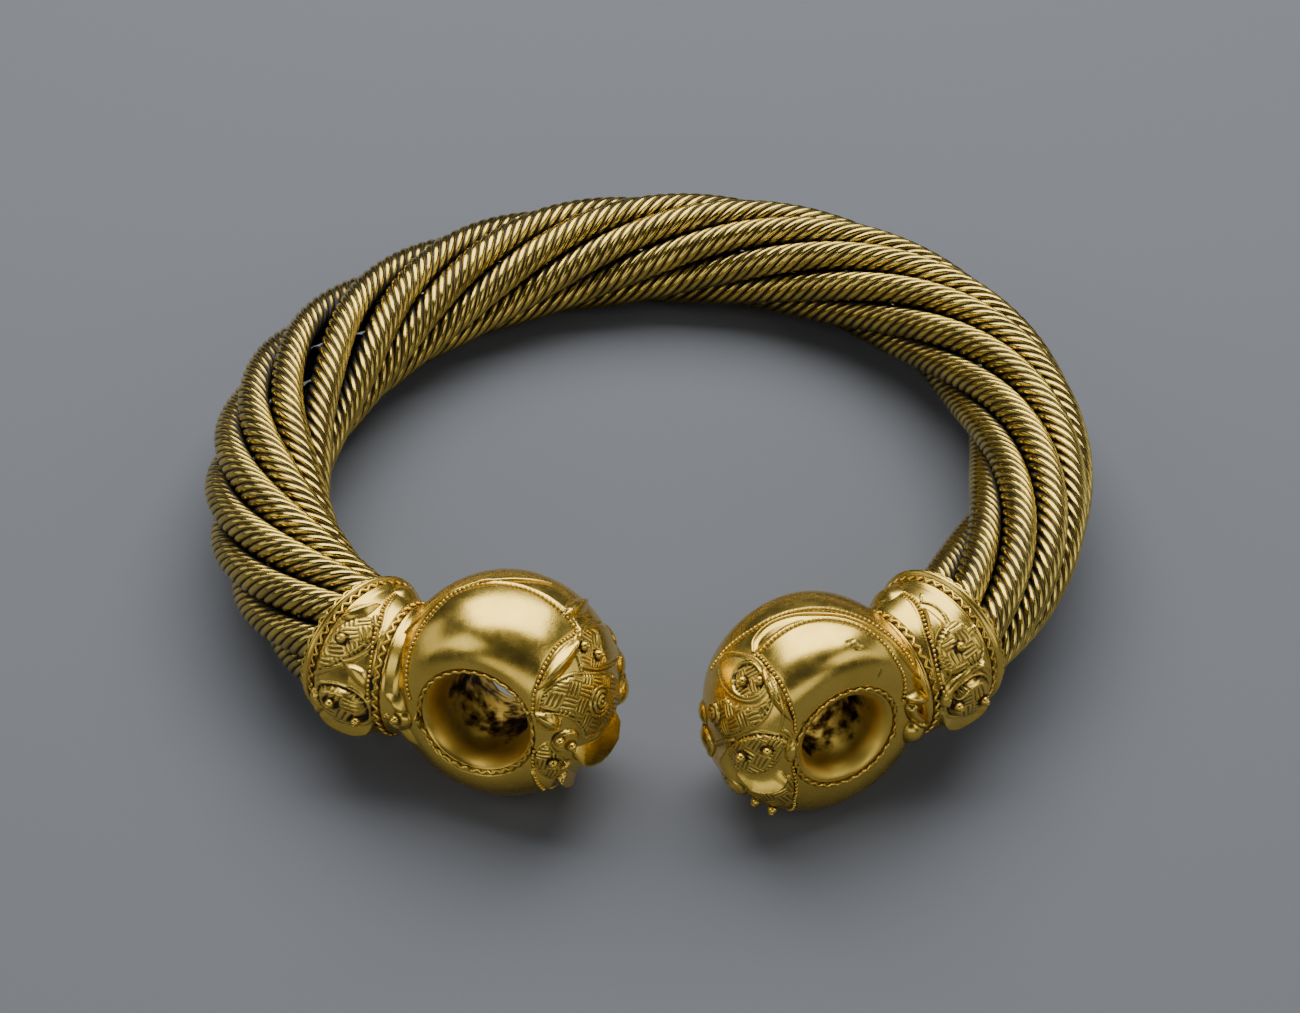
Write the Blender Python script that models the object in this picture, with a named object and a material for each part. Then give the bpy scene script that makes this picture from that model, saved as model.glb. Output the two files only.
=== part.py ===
"""Gold torc: eight ropes, each of eight fused wires, twisted together into an open hoop.

A ring-shaped terminal is cast onto each end of the hoop, with a collar that grips the ropes.
Every shape is worked out in millimetres in the frame of the hoop, whose centre is the origin and
whose plane is z = 0. The two terminals are at the front (-Y), with their ring holes facing
outwards. One empty, "stance", then lays the torc on the floor.
"""
import math

import bmesh
import bpy
import numpy as np
from mathutils import Matrix

MM = 0.001

# The hoop that the ropes follow. Its angle is 0 at +X (right), 90 at the back and 180 at the left.
HOOP_RADIUS = 85.8
HOOP_WAVES = ((2, -0.92, 1.86), (3, -0.66, 0.22))   # waves round the hoop, cosine and sine height
DEGREES_PER_MM = math.degrees(1 / HOOP_RADIUS)

# The bundle of ropes.
ROPES = 8
ROPE_RADIUS = 3.75                # to the corners of the eight-sided rope, one corner for each wire
ROPE_SIDES = 8
ROPE_STEPS = 44
BUNDLE_RADIUS = 10.1              # from the hoop's line to the middle of each rope
TWIST_RATE = 2.675                # degrees of twist for each degree round the hoop
TWIST_PLACE = (-42.0, 34.5)       # at this hoop angle, rope 1 stands at this angle in the bundle
LAG_PLACE, LAG_BEFORE, LAG_AFTER, LAG_SIZE = 180.0, 14.0, 38.0, 13.0
LOOSE_PLACE, LOOSE_LENGTH = 161.0, 17.0             # where the twist has opened on the left
LOOSE_SWELL, LOOSE_PUSH, LOOSE_ROPE = 0.9, 6.0, 3   # mm wider, degrees pushed aside, rope left alone

# Collars: distances run from the lip at the ropes towards the middle of the ring.
SOCKET_RADIUS, SOCKET_DEPTH, ROPE_CLEARANCE = 14.4, 2.0, 0.4
RIB_PLACE, RIB_HALF_WIDTH, RIB_RADIUS = 1.25, 0.65, 15.7
COLLAR_PROFILE = ((0.0, 14.9), (0.33, 15.2), (0.62, 14.9), (0.85, 14.0), (1.0, 13.2), (1.15, 13.3))
COLLAR_END_RADIUS = 12.4
COLLAR_BURIED = 16.5              # the collar stops this far from the middle of the ring
COLLAR_SIDES = 16
COLLAR_DROP, COLLAR_DROP_ANGLE, COLLAR_DROP_LENGTH = 0.8, -40.0, 3.0   # the body hangs out and down

# Rings: a fat hollow ring whose hole flares towards the inside of the hoop.
RING_STEPS, SECTION_STEPS = 22, 12
HOLE_WALL = 4.5                   # half-thickness of the ring between its crest and the hole's waist
BACK_HALF_DEPTH, BACK_FLARE = 14.4, 4.0
FOOT_HEIGHT = 10.0                # of the block that leaves a flat spot under each ring

# How the torc lies: its hoop tips until both rings and the back of the hoop touch the floor.
STANCE_TILT_DEG, STANCE_ROLL_DEG = -2.79, -0.70
STANCE_PLACE = (0.9, -0.29, 18.12)

FORM_SIDES = 8
FORM_ROOT = 2.0                   # how deep a raised form is rooted in the casting
DOME = ((1.0, 0.0), (0.7, 0.75))                    # radius and height along a dome, before its top
CELL = ((1.0, 1.0), (0.8, 0.7))                     # the same for a cell with a raised rim
STEPPED = ((1.0, 0.5), (0.65, 0.5), (0.55, 1.0))    # and for a boss of concentric rings
PELLET_RADIUS, PELLET_SIDES = 1.1, 6

# Each raised form: (round the ring or along the collar, across it, half-length, half-width, height,
# turn of its length, profile). Ring places are angles, collar places are mm from the lip and degrees.
TERMINALS = {
    "terminal_left": {
        "ring_centre": (-29.5, -75.75, 0.96), "facing_deg": -20.1, "up_deg": 8.6,
        "ring_radius": 22.85, "tube": 10.3, "front_half_depth": 15.2, "squareness": 2.0,
        "gap_side": 1, "lip_deg": 226.3, "neck": 13.2,
        "ring_forms": (
            (46, 35, 7.2, 1.7, 1.3, 4, DOME), (53, 3, 4.9, 3.1, 1.3, 0, CELL),
            (66, -34, 6.5, 3.6, 2.2, -20, DOME), (77, 17, 3.9, 3.7, 1.7, 0, STEPPED),
            (73, 74, 1.9, 1.5, 1.3, 30, DOME), (91, 57, 2.7, 2.6, 1.6, 0, CELL),
            (108, 28, 7.5, 3.2, 2.6, -20, DOME), (92, -25, 4.2, 3.4, 2.6, 0, DOME),
            (-91, 56, 2.9, 1.5, 1.6, 70, DOME), (-104, 60, 2.8, 2.0, 1.7, 60, DOME)),
        "ring_pellets": ((49, 7, 1.9), (58, -5, 1.9), (89, 62, 2.2), (95, 50, 2.2)),
        "collar_forms": (
            (6.3, 56, 4.8, 3.2, 1.3, 30, CELL), (7.6, 1, 4.9, 4.0, 3.0, 0, CELL),
            (7.4, -31, 3.4, 4.4, 3.2, 0, DOME), (9.3, 28, 3.2, 1.9, 1.2, -35, DOME),
            (7.5, 130, 4.8, 3.6, 1.3, 0, CELL), (7.0, 235, 8.0, 3.6, 1.8, 0, DOME)),
        "collar_pellets": ((5.8, 52, 1.9), (6.6, 4, 3.6), (9.4, -7, 3.6)),
    },
    "terminal_right": {
        "ring_centre": (32.5, -78.6, -0.9), "facing_deg": 27.75, "up_deg": 3.3,
        "ring_radius": 21.92, "tube": 9.9, "front_half_depth": 12.2, "squareness": 2.8,
        "gap_side": -1, "lip_deg": -44.5, "neck": 15.6,
        "ring_forms": (
            (43, 38, 6.5, 1.5, 1.2, 12, DOME), (51, 14, 4.3, 3.1, 1.3, 0, CELL),
            (57, -26, 5.0, 2.8, 2.0, -8, DOME), (77, -11, 3.8, 3.6, 1.7, 0, STEPPED),
            (83, 47, 5.6, 3.6, 1.5, -25, CELL), (106, 44, 6.6, 2.5, 2.2, -6, DOME),
            (94, 82, 4.0, 1.8, 1.6, 90, DOME), (97, -22, 4.6, 3.4, 2.6, 0, DOME),
            (-81, 62, 2.9, 1.4, 1.4, 40, DOME), (-96, 62, 3.2, 2.3, 1.8, 50, DOME)),
        "ring_pellets": ((46, 21, 1.9), (53, 5, 1.9), (79, 55, 2.0), (89, 31, 2.0)),
        "collar_forms": (
            (8.6, 48, 5.2, 4.4, 1.3, 10, CELL), (9.5, 2, 4.6, 4.6, 3.0, 0, CELL),
            (8.6, -32, 3.4, 5.2, 3.2, 0, DOME), (10.4, 25, 1.3, 4.2, 1.6, 0, DOME),
            (9.0, 130, 4.8, 3.6, 1.3, 0, CELL), (8.5, 235, 8.0, 3.6, 1.8, 0, DOME)),
        "collar_pellets": ((8.8, 45, 1.9), (11.8, 3, 3.5), (8.0, 2, 3.5)),
    },
}

GOLD_TERMINAL = ("gold_polished", (0.86, 0.66, 0.25, 1.0), 0.2)
GOLD_ROPE = ("gold_wire", (0.72, 0.53, 0.19, 1.0), 0.3)


def clear_scene():
    for thing in list(bpy.data.objects):
        bpy.data.objects.remove(thing, do_unlink=True)


def gold(name, colour, roughness):
    material = bpy.data.materials.new(name)
    material.use_nodes = True
    shader = material.node_tree.nodes["Principled BSDF"]
    shader.inputs["Base Color"].default_value = colour
    shader.inputs["Metallic"].default_value = 1.0
    shader.inputs["Roughness"].default_value = roughness
    material.diffuse_color = colour
    return material


def unit(vectors):
    return vectors / np.linalg.norm(vectors, axis=-1, keepdims=True)


def polar(angle_deg, first, second):
    angle = np.radians(angle_deg)[..., None]
    return np.cos(angle) * first + np.sin(angle) * second


# ---------------------------------------------------------------- the hoop and its ropes

def hoop_line(angle_deg):
    """Points on the hoop, its direction there, and the outward direction."""
    angle = np.radians(np.atleast_1d(np.asarray(angle_deg, float)))
    radius = np.full_like(angle, HOOP_RADIUS)
    slope = np.zeros_like(angle)
    for waves, cosine, sine in HOOP_WAVES:
        radius += cosine * np.cos(waves * angle) + sine * np.sin(waves * angle)
        slope += waves * (sine * np.cos(waves * angle) - cosine * np.sin(waves * angle))
    spoke = np.stack([np.cos(angle), np.sin(angle), 0 * angle], -1)
    round_way = np.stack([-np.sin(angle), np.cos(angle), 0 * angle], -1)
    points = radius[:, None] * spoke
    along = unit(slope[:, None] * spoke + radius[:, None] * round_way)
    outward = np.stack([along[:, 1], -along[:, 0], 0 * angle], -1)
    return points, along, outward


def looseness(hoop_deg):
    return np.exp(-((hoop_deg - LOOSE_PLACE) / LOOSE_LENGTH) ** 2)


def rope_angle(rope, hoop_deg):
    """Where a rope stands in the bundle: 0 is the outer side of the hoop, 90 the top."""
    turned = TWIST_PLACE[1] + TWIST_RATE * (hoop_deg - TWIST_PLACE[0])
    spread = np.where(hoop_deg < LAG_PLACE, LAG_BEFORE, LAG_AFTER)
    turned = turned - LAG_SIZE * np.exp(-((hoop_deg - LAG_PLACE) / spread) ** 2)
    places = (rope - LOOSE_ROPE + ROPES // 2) % ROPES - ROPES // 2
    push = -np.sign(places) * LOOSE_PUSH * (ROPES // 2 - abs(places)) / (ROPES // 2 - 1)
    return turned - 360 / ROPES * (rope - 1) + push * looseness(hoop_deg)


def rope_mesh(rope, first_deg, last_deg):
    """An eight-sided rope, cut square to the hoop at each step so that its ends are flush."""
    hoop_deg = np.linspace(first_deg, last_deg, ROPE_STEPS + 1)
    points, along, outward = hoop_line(hoop_deg)
    up = np.array([0.0, 0.0, 1.0])
    stand = rope_angle(rope, hoop_deg)
    reach = BUNDLE_RADIUS + LOOSE_SWELL * looseness(hoop_deg)
    spoke = polar(stand, outward, up)
    side = polar(stand + 90, outward, up)
    turn_rate = np.gradient(np.radians(stand), np.radians(hoop_deg))
    lean = reach * turn_rate / (HOOP_RADIUS + reach * np.cos(np.radians(stand)))
    stretch = np.sqrt(1 + lean ** 2)
    corner = 2 * math.pi * np.arange(ROPE_SIDES) / ROPE_SIDES
    centre = points + reach[:, None] * spoke
    rings = (centre[:, None] + ROPE_RADIUS * np.cos(corner)[None, :, None] * spoke[:, None]
             + ROPE_RADIUS * stretch[:, None, None] * np.sin(corner)[None, :, None] * side[:, None])
    return tube(rings)


# ---------------------------------------------------------------- meshes

def tube(rings):
    """A closed solid through rings of points, with a flat cap at each end."""
    steps, sides = rings.shape[:2]
    faces = [(i * sides + j, i * sides + (j + 1) % sides,
              (i + 1) * sides + (j + 1) % sides, (i + 1) * sides + j)
             for i in range(steps - 1) for j in range(sides)]
    faces.append(tuple(range(sides)))
    faces.append(tuple(range((steps - 1) * sides, steps * sides)))
    return rings.reshape(-1, 3), faces


def closed_grid(rings):
    """A ring-shaped solid: the last ring of points joins the first one."""
    steps, sides = rings.shape[:2]
    faces = [(i * sides + j, i * sides + (j + 1) % sides,
              (i + 1) % steps * sides + (j + 1) % sides, (i + 1) % steps * sides + j)
             for i in range(steps) for j in range(sides)]
    return rings.reshape(-1, 3), faces


def joined(shapes):
    """Several separate closed shapes in one mesh."""
    points, faces, start = [], [], 0
    for shape_points, shape_faces in shapes:
        points.append(shape_points)
        faces += [tuple(index + start for index in face) for face in shape_faces]
        start += len(shape_points)
    return np.concatenate(points), faces


def new_object(name, shape, material, parent):
    points, faces = shape
    mesh = bpy.data.meshes.new(name)
    mesh.from_pydata((points * MM).tolist(), [], faces)
    work = bmesh.new()
    work.from_mesh(mesh)
    bmesh.ops.recalc_face_normals(work, faces=work.faces)
    work.to_mesh(mesh)
    work.free()
    if material is not None:
        mesh.materials.append(material)
    thing = bpy.data.objects.new(name, mesh)
    thing.parent = parent
    bpy.context.collection.objects.link(thing)
    return thing


def cut_or_join(target, tool, operation):
    tool.hide_render = True
    tool.display_type = "WIRE"
    modifier = target.modifiers.new(tool.name, "BOOLEAN")
    modifier.operation = operation
    modifier.solver = "EXACT"
    modifier.object = tool


# ---------------------------------------------------------------- the terminals

def ring_axes(spec):
    """The hole's direction, the ring's own up, and the way towards the gap between the terminals."""
    facing, lift = math.radians(spec["facing_deg"]), math.radians(spec["up_deg"])
    hole = np.array([math.sin(facing) * math.cos(lift), -math.cos(facing) * math.cos(lift), math.sin(lift)])
    up = unit(np.array([0.0, 0.0, 1.0]) - hole[2] * hole)
    across = np.cross(up, hole)
    gap_way = across * np.sign(across[0]) * spec["gap_side"]
    return hole, up, gap_way


def ring_section(spec, section_deg):
    """Radius and depth round the ring's section: 0 is its outer edge and 90 its front crest."""
    angle = np.radians(section_deg)
    cosine, sine = np.cos(angle), np.sin(angle)
    power = np.where(sine > 0, spec["squareness"], 2.0)
    reach = (np.abs(cosine) ** power + np.abs(sine) ** power) ** (-1 / power)
    flare = BACK_FLARE * ((1 - sine) / 2) ** 2
    half_width = np.where(cosine > 0, spec["tube"] - flare, HOLE_WALL)
    half_depth = np.where(sine > 0, spec["front_half_depth"], BACK_HALF_DEPTH)
    radius = spec["ring_radius"] - spec["tube"] + flare + half_width * cosine * reach
    return radius, half_depth * sine * reach


def ring_point(spec, round_deg, section_deg):
    """A point on the ring and its outward normal; round_deg is 0 on top and 90 at the gap."""
    hole, up, gap_way = ring_axes(spec)
    radius, depth = ring_section(spec, section_deg)
    after = ring_section(spec, section_deg + 0.5)
    before = ring_section(spec, section_deg - 0.5)
    spoke = polar(round_deg, up, gap_way)
    point = np.array(spec["ring_centre"]) + radius[..., None] * spoke + depth[..., None] * hole
    normal = unit((after[1] - before[1])[..., None] * spoke - (after[0] - before[0])[..., None] * hole)
    return point, normal


def collar_line(spec):
    """A line along the hoop through the socket, then a smooth curve to the middle of the ring."""
    socket_deg = spec["lip_deg"] + spec["gap_side"] * SOCKET_DEPTH * DEGREES_PER_MM
    hoop_part, along, _ = hoop_line(np.linspace(spec["lip_deg"], socket_deg, 5))
    start, leave = hoop_part[-1], spec["gap_side"] * along[-1]
    end, arrive = np.array(spec["ring_centre"]), ring_axes(spec)[2]
    span = np.linalg.norm(end - start)
    u = np.linspace(0, 1, 121)[:, None]
    curve = ((2 * u ** 3 - 3 * u ** 2 + 1) * start + (u ** 3 - 2 * u ** 2 + u) * span * leave
             + (3 * u ** 2 - 2 * u ** 3) * end + (u ** 3 - u ** 2) * span * arrive)
    line = np.concatenate([hoop_part[:-1], curve])
    travelled = np.concatenate([[0], np.cumsum(np.linalg.norm(np.diff(line, axis=0), axis=1))])
    ahead = unit(np.concatenate([spec["gap_side"] * along[:-1], np.gradient(curve, axis=0)]))
    outward = unit(np.cross(ahead, [0, 0, 1.0]) * spec["gap_side"])
    up = unit(np.cross(outward, ahead))
    return travelled, line, outward, up * np.sign(up[:, 2:])


def collar_point(spec, distance, round_deg, radius):
    """A point at a distance from the lip; round_deg is 0 on the hoop's outer side and 90 on top."""
    travelled, line, outward, up = collar_line(spec)
    distance = np.asarray(distance, float)
    place, outward, up = (np.stack([np.interp(distance, travelled, part[:, axis]) for axis in range(3)], -1)
                          for part in (line, outward, up))
    sink = COLLAR_DROP * np.clip((distance - SOCKET_DEPTH) / COLLAR_DROP_LENGTH, 0, 1)
    place = place + sink[..., None] * polar(np.full(distance.shape, COLLAR_DROP_ANGLE), outward, up)
    spoke = polar(round_deg, outward, up)
    return place + np.asarray(radius, float)[..., None] * spoke, spoke


def collar_profile(spec):
    places = [share * spec["neck"] for share, _ in COLLAR_PROFILE]
    radii = [radius for _, radius in COLLAR_PROFILE]
    return places, radii


def collar_mesh(spec):
    """The collar: a socket for the ropes, a round rib, a waisted body and an end inside the ring."""
    places, radii = collar_profile(spec)
    buried = collar_line(spec)[0][-1] - COLLAR_BURIED
    rib = [(RIB_PLACE - RIB_HALF_WIDTH, None), (RIB_PLACE, RIB_RADIUS), (RIB_PLACE + RIB_HALF_WIDTH, None)]
    stations = [(SOCKET_DEPTH, SOCKET_RADIUS), (0.0, SOCKET_RADIUS), (0.0, radii[0])]
    stations += [(place, radius or np.interp(place, places, radii)) for place, radius in rib]
    stations += [(place, radius) for place, radius in zip(places[1:], radii[1:])]
    stations.append((buried, COLLAR_END_RADIUS))
    round_deg = 360 * np.arange(COLLAR_SIDES) / COLLAR_SIDES
    rings = [collar_point(spec, np.full(COLLAR_SIDES, place), round_deg, np.full(COLLAR_SIDES, radius))[0]
             for place, radius in stations]
    return tube(np.array(rings))


def raised_form(point, normal, lengthways, half_length, half_width, height, profile, sides=FORM_SIDES):
    """A raised form that stands on a surface and is rooted below it."""
    side = np.cross(normal, lengthways)
    corner = 2 * math.pi * np.arange(sides) / sides
    levels = [(profile[0][0], -FORM_ROOT / height)] + list(profile)
    rings = [point + share * (half_length * np.cos(corner)[:, None] * lengthways
                              + half_width * np.sin(corner)[:, None] * side) + level * height * normal
             for share, level in levels]
    points, faces = tube(np.array(rings))
    if profile is DOME:
        last = faces.pop()
        faces += [(last[i], last[(i + 1) % sides], len(points)) for i in range(sides)]
        points = np.concatenate([points, [point + height * normal]])
    return points, faces


def ring_place(spec, round_deg, section_deg):
    """A place on the ring: the point, its normal, and the ways across and along the ring there."""
    point, normal = ring_point(spec, np.array(round_deg), np.array(section_deg))
    across = unit(ring_point(spec, np.array(round_deg), np.array(section_deg + 1))[0] - point)
    along = unit(ring_point(spec, np.array(round_deg + 1), np.array(section_deg))[0] - point)
    return point, normal, across, along


def collar_place(spec, distance, round_deg):
    """The same for the collar: across runs round it, and along runs towards the ring."""
    radius = np.interp(distance, *collar_profile(spec))
    point, normal = collar_point(spec, distance, np.array(round_deg), radius)
    across = unit(collar_point(spec, distance, np.array(round_deg + 1), radius)[0] - point)
    along = unit(collar_point(spec, distance + 0.5, np.array(round_deg), radius)[0] - point)
    return point, normal, across, along


def terminal_forms(spec):
    """Two lists of raised forms: the main ones, and the pellets that stand on them."""
    forms, pellets = [], []
    for piece, place_on in (("ring", ring_place), ("collar", collar_place)):
        for first, second, *sizes, turn_deg, profile in spec[piece + "_forms"]:
            point, normal, across, along = place_on(spec, first, second)
            lengthways = unit(polar(np.array(turn_deg), across, along))
            forms.append(raised_form(point, normal, lengthways, *sizes, profile))
        for first, second, height in spec[piece + "_pellets"]:
            point, normal, across, _ = place_on(spec, first, second)
            pellets.append(raised_form(point, normal, across, PELLET_RADIUS, PELLET_RADIUS, height, DOME,
                                       PELLET_SIDES))
    return forms, pellets


def make_terminal(name, spec, material, stance):
    steps = np.repeat(360 * np.arange(RING_STEPS)[:, None] / RING_STEPS, SECTION_STEPS, axis=1)
    section = np.repeat(360 * np.arange(SECTION_STEPS)[None, :] / SECTION_STEPS, RING_STEPS, axis=0)
    ring = new_object(name, closed_grid(ring_point(spec, steps, section)[0]), material, stance)
    collar = new_object(name + "_collar_tool", collar_mesh(spec), material, stance)
    cut_or_join(ring, collar, "UNION")
    forms, pellets = terminal_forms(spec)
    for number, shape in enumerate(forms + pellets):
        tool = new_object("%s_form_%d_tool" % (name, number), shape, material, stance)
        cut_or_join(ring, tool, "UNION")
    return ring


def make_foot_cutter():
    """A block under the floor line that leaves a small flat spot below each ring."""
    half = 2 * HOOP_RADIUS
    square = np.array([(-half, -half), (half, -half), (half, half), (-half, half)])
    rings = np.array([np.column_stack([square, np.full(4, z)]) for z in (-FOOT_HEIGHT, 0.0)])
    return new_object("foot_tool", tube(rings), None, None)


def main():
    clear_scene()
    stance = bpy.data.objects.new("stance", None)
    bpy.context.collection.objects.link(stance)
    stance.location = [value * MM for value in STANCE_PLACE]
    stance.rotation_euler = (math.radians(STANCE_TILT_DEG), math.radians(STANCE_ROLL_DEG), 0.0)
    wire_gold, polished_gold = gold(*GOLD_ROPE), gold(*GOLD_TERMINAL)

    entry = (SOCKET_DEPTH - ROPE_CLEARANCE) * DEGREES_PER_MM
    first_deg = TERMINALS["terminal_right"]["lip_deg"] - entry
    last_deg = TERMINALS["terminal_left"]["lip_deg"] + entry
    for rope in range(1, ROPES + 1):
        new_object("rope_%d" % rope, rope_mesh(rope, first_deg, last_deg), wire_gold, stance)

    foot = make_foot_cutter()
    for name, spec in TERMINALS.items():
        terminal = make_terminal(name, spec, polished_gold, stance)
        cut_or_join(terminal, foot, "DIFFERENCE")


main()
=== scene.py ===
"""Gold torc: ropes of laid gold wire twisted into a hoop, with two cast ring terminals in relief.

The hoop, the collars and the rings are worked out in millimetres in the frame of the hoop, whose
plane is z = 0, by the same sizes and formulas as the solids. lay_down() then puts every finished
point where the torc lies on the floor, in metres.
"""
import math

import bmesh
import bpy
import numpy as np
from mathutils import Euler, Matrix, Vector


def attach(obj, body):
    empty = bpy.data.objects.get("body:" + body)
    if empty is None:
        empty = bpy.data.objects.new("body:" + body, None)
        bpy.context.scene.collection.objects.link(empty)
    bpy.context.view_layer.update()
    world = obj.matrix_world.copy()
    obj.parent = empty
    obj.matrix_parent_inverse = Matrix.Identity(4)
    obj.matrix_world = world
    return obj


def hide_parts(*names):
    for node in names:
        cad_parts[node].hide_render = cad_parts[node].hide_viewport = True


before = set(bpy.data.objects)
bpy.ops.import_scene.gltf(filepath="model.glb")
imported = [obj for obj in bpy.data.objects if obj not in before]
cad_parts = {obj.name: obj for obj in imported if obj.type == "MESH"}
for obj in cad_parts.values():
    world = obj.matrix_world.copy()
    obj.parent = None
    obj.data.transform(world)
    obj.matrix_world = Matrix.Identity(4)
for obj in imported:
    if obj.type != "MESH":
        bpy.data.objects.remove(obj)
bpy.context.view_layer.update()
MM = 0.001

# ---------------------------------------------------------------- sizes shared with the solids

HOOP_RADIUS = 85.8
HOOP_WAVES = ((2, -0.92, 1.86), (3, -0.66, 0.22))
DEGREES_PER_MM = math.degrees(1 / HOOP_RADIUS)
ROPES = 8
BUNDLE_RADIUS = 10.1
TWIST_RATE = 2.675
TWIST_PLACE = (-42.0, 34.5)
LAG_PLACE, LAG_BEFORE, LAG_AFTER, LAG_SIZE = 180.0, 14.0, 38.0, 13.0
LOOSE_PLACE, LOOSE_LENGTH = 161.0, 17.0
LOOSE_SWELL, LOOSE_PUSH, LOOSE_ROPE = 0.9, 6.0, 3

SOCKET_RADIUS, SOCKET_DEPTH = 14.4, 2.0
COLLAR_PROFILE = ((0.0, 14.9), (0.33, 15.2), (0.62, 14.9), (0.85, 14.0), (1.0, 13.2), (1.15, 13.3))
COLLAR_BURIED = 16.5               # where a collar ends inside its ring, short of the ring's middle
COLLAR_DROP, COLLAR_DROP_ANGLE, COLLAR_DROP_LENGTH = 0.8, -40.0, 3.0
HOLE_WALL, BACK_HALF_DEPTH, BACK_FLARE = 4.5, 14.4, 4.0
STANCE_TILT_DEG, STANCE_ROLL_DEG, STANCE_PLACE = -2.79, -0.70, (0.9, -0.29, 18.12)

LEFT = {"name": "left", "ring_centre": (-29.5, -75.75, 0.96), "facing_deg": -20.1, "up_deg": 8.6,
        "ring_radius": 22.85, "tube": 10.3, "front_half_depth": 15.2, "squareness": 2.0,
        "gap_side": 1, "lip_deg": 226.3, "neck": 13.2}
RIGHT = {"name": "right", "ring_centre": (32.5, -78.6, -0.9), "facing_deg": 27.75, "up_deg": 3.3,
         "ring_radius": 21.92, "tube": 9.9, "front_half_depth": 12.2, "squareness": 2.8,
         "gap_side": -1, "lip_deg": -44.5, "neck": 15.6}

# ---------------------------------------------------------------- sizes of the gold work

WIRES = 8                          # wires laid in each rope
WIRE_RADIUS = 0.87
ROPE_RADIUS = 3.62                 # to the crowns of the wires
ROPE_CORE = ROPE_RADIUS - WIRE_RADIUS
POINTS_PER_WIRE = 7
WIRE_PITCH = 24.6                  # length of rope in which a wire goes once round
LAY_SENSE = -1.0                   # minus lays the wires the same way round as the ropes are twisted
PITCH_AT_COLLAR = 0.82             # the pitch where the ropes enter the collars, as a share of the rest
TIGHT_LENGTH = 22.0                # over this length
ROPE_PHASE = 1.7                   # radians between the starts of two neighbouring ropes' wires
ROPE_STEP = 1.35                   # between the sections of a rope
FINE_POINTS = 2001                 # at which a rope's length is measured first
SOCKET_CLEARANCE = 0.6             # from a rope's end to the floor of its socket
GROOVE_SOIL_AND_SHADE, SIDE_SOIL_AND_SHADE = 2.0, 1.1  # dirt and painted shade between the wires, and on the sides turned to other ropes
BEAD_RADIUS, BEAD_SPACING, BEAD_LIFT = 0.4, 0.94, 0.12
BEAD_SIZES, BEAD_SEED = (0.85, 1.08), 4
PELLET_RADIUS, PELLET_LIFT, COLLAR_PELLET_LIFT = 1.0, 0.5, 0.45
PELLET_RING = (0.46, 0.17, 0.93)   # its radius, half thickness and height, as shares of the pellet's radius
ROUND_WIRE_RADIUS = 0.34
ZIGZAG_RADIUS = 0.31
ZIGZAG_PITCH, ZIGZAG_SWING, ZIGZAG_LIFT = 2.4, 0.4, 0.2
ZIGZAG_STEPS = 10                  # points in each wave


def unit(vectors):
    """The same directions, each one unit long."""
    return vectors / np.linalg.norm(vectors, axis=-1, keepdims=True)


def polar(angle_deg, first, second):
    """The direction at an angle from the first towards the second."""
    angle = np.radians(angle_deg)[..., None]
    return np.cos(angle) * first + np.sin(angle) * second


def soft_step(share):
    """0 below 0, 1 above 1 and an even curve between."""
    share = np.clip(share, 0, 1)
    return share * share * (3 - 2 * share)


STANCE = Matrix.Translation(Vector(STANCE_PLACE)) @ Euler(
    (math.radians(STANCE_TILT_DEG), math.radians(STANCE_ROLL_DEG), 0)).to_matrix().to_4x4()


def lay_down(points):
    """From millimetres in the hoop's frame to metres on the floor."""
    turn = np.array(STANCE.to_3x3())
    return (np.asarray(points) @ turn.T + np.array(STANCE.translation)) * MM


# ---------------------------------------------------------------- small tools for nodes and meshes

def add(tree, kind, inputs=None, output=0, **settings):
    """Adds a node and returns one of its outputs. An input is a socket to link or a value to set."""
    made = tree.nodes.new(kind)
    for name, value in settings.items():
        setattr(made, name, value)
    for name, value in (inputs or {}).items():
        if isinstance(value, bpy.types.NodeSocket):
            tree.links.new(value, made.inputs[name])
        else:
            made.inputs[name].default_value = value
    return made.outputs[output] if made.outputs else None


def new_tree(name, numbers):
    """A Geometry Nodes tree that takes a piece and some numbers, and the sockets they come in by."""
    tree = bpy.data.node_groups.new(name, "GeometryNodeTree")
    tree.interface.new_socket("Geometry", in_out="INPUT", socket_type="NodeSocketGeometry")
    for number in numbers:
        tree.interface.new_socket(number, in_out="INPUT", socket_type="NodeSocketFloat")
    tree.interface.new_socket("Geometry", in_out="OUTPUT", socket_type="NodeSocketGeometry")
    return tree, tree.nodes.new("NodeGroupInput").outputs


def finished_tree(tree, geometry, material):
    """Ends a tree with what it has built, made real and given its material."""
    geometry = add(tree, "GeometryNodeRealizeInstances", {"Geometry": geometry})
    geometry = add(tree, "GeometryNodeSetMaterial", {"Geometry": geometry, "Material": material})
    add(tree, "NodeGroupOutput", {"Geometry": geometry})
    return tree


def linear(hex_colour):
    """An sRGB hex colour as linear red, green, blue and alpha."""
    shares = [int(hex_colour[i:i + 2], 16) / 255 for i in (1, 3, 5)]
    return [s / 12.92 if s <= 0.04045 else ((s + 0.055) / 1.055) ** 2.4 for s in shares] + [1.0]


def new_piece(name, points, faces, edges=()):
    """A mesh object at the origin, with its points in millimetres laid down and none below the floor."""
    mesh = bpy.data.meshes.new(name)
    placed = lay_down(points)
    placed[:, 2] = np.maximum(placed[:, 2], 0)
    mesh.from_pydata(placed.tolist(), list(edges), faces)
    piece = bpy.data.objects.new(name, mesh)
    bpy.context.collection.objects.link(piece)
    return piece


def write_values(piece, name, values):
    """Stores one number for each point of a piece."""
    layer = piece.data.attributes.new(name, "FLOAT", "POINT")
    layer.data.foreach_set("value", np.asarray(values, np.float32).ravel())


def line_edges(count, closed=False):
    """The edges that make a line of so many points."""
    return [(i, (i + 1) % count) for i in range(count if closed else count - 1)]


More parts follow.
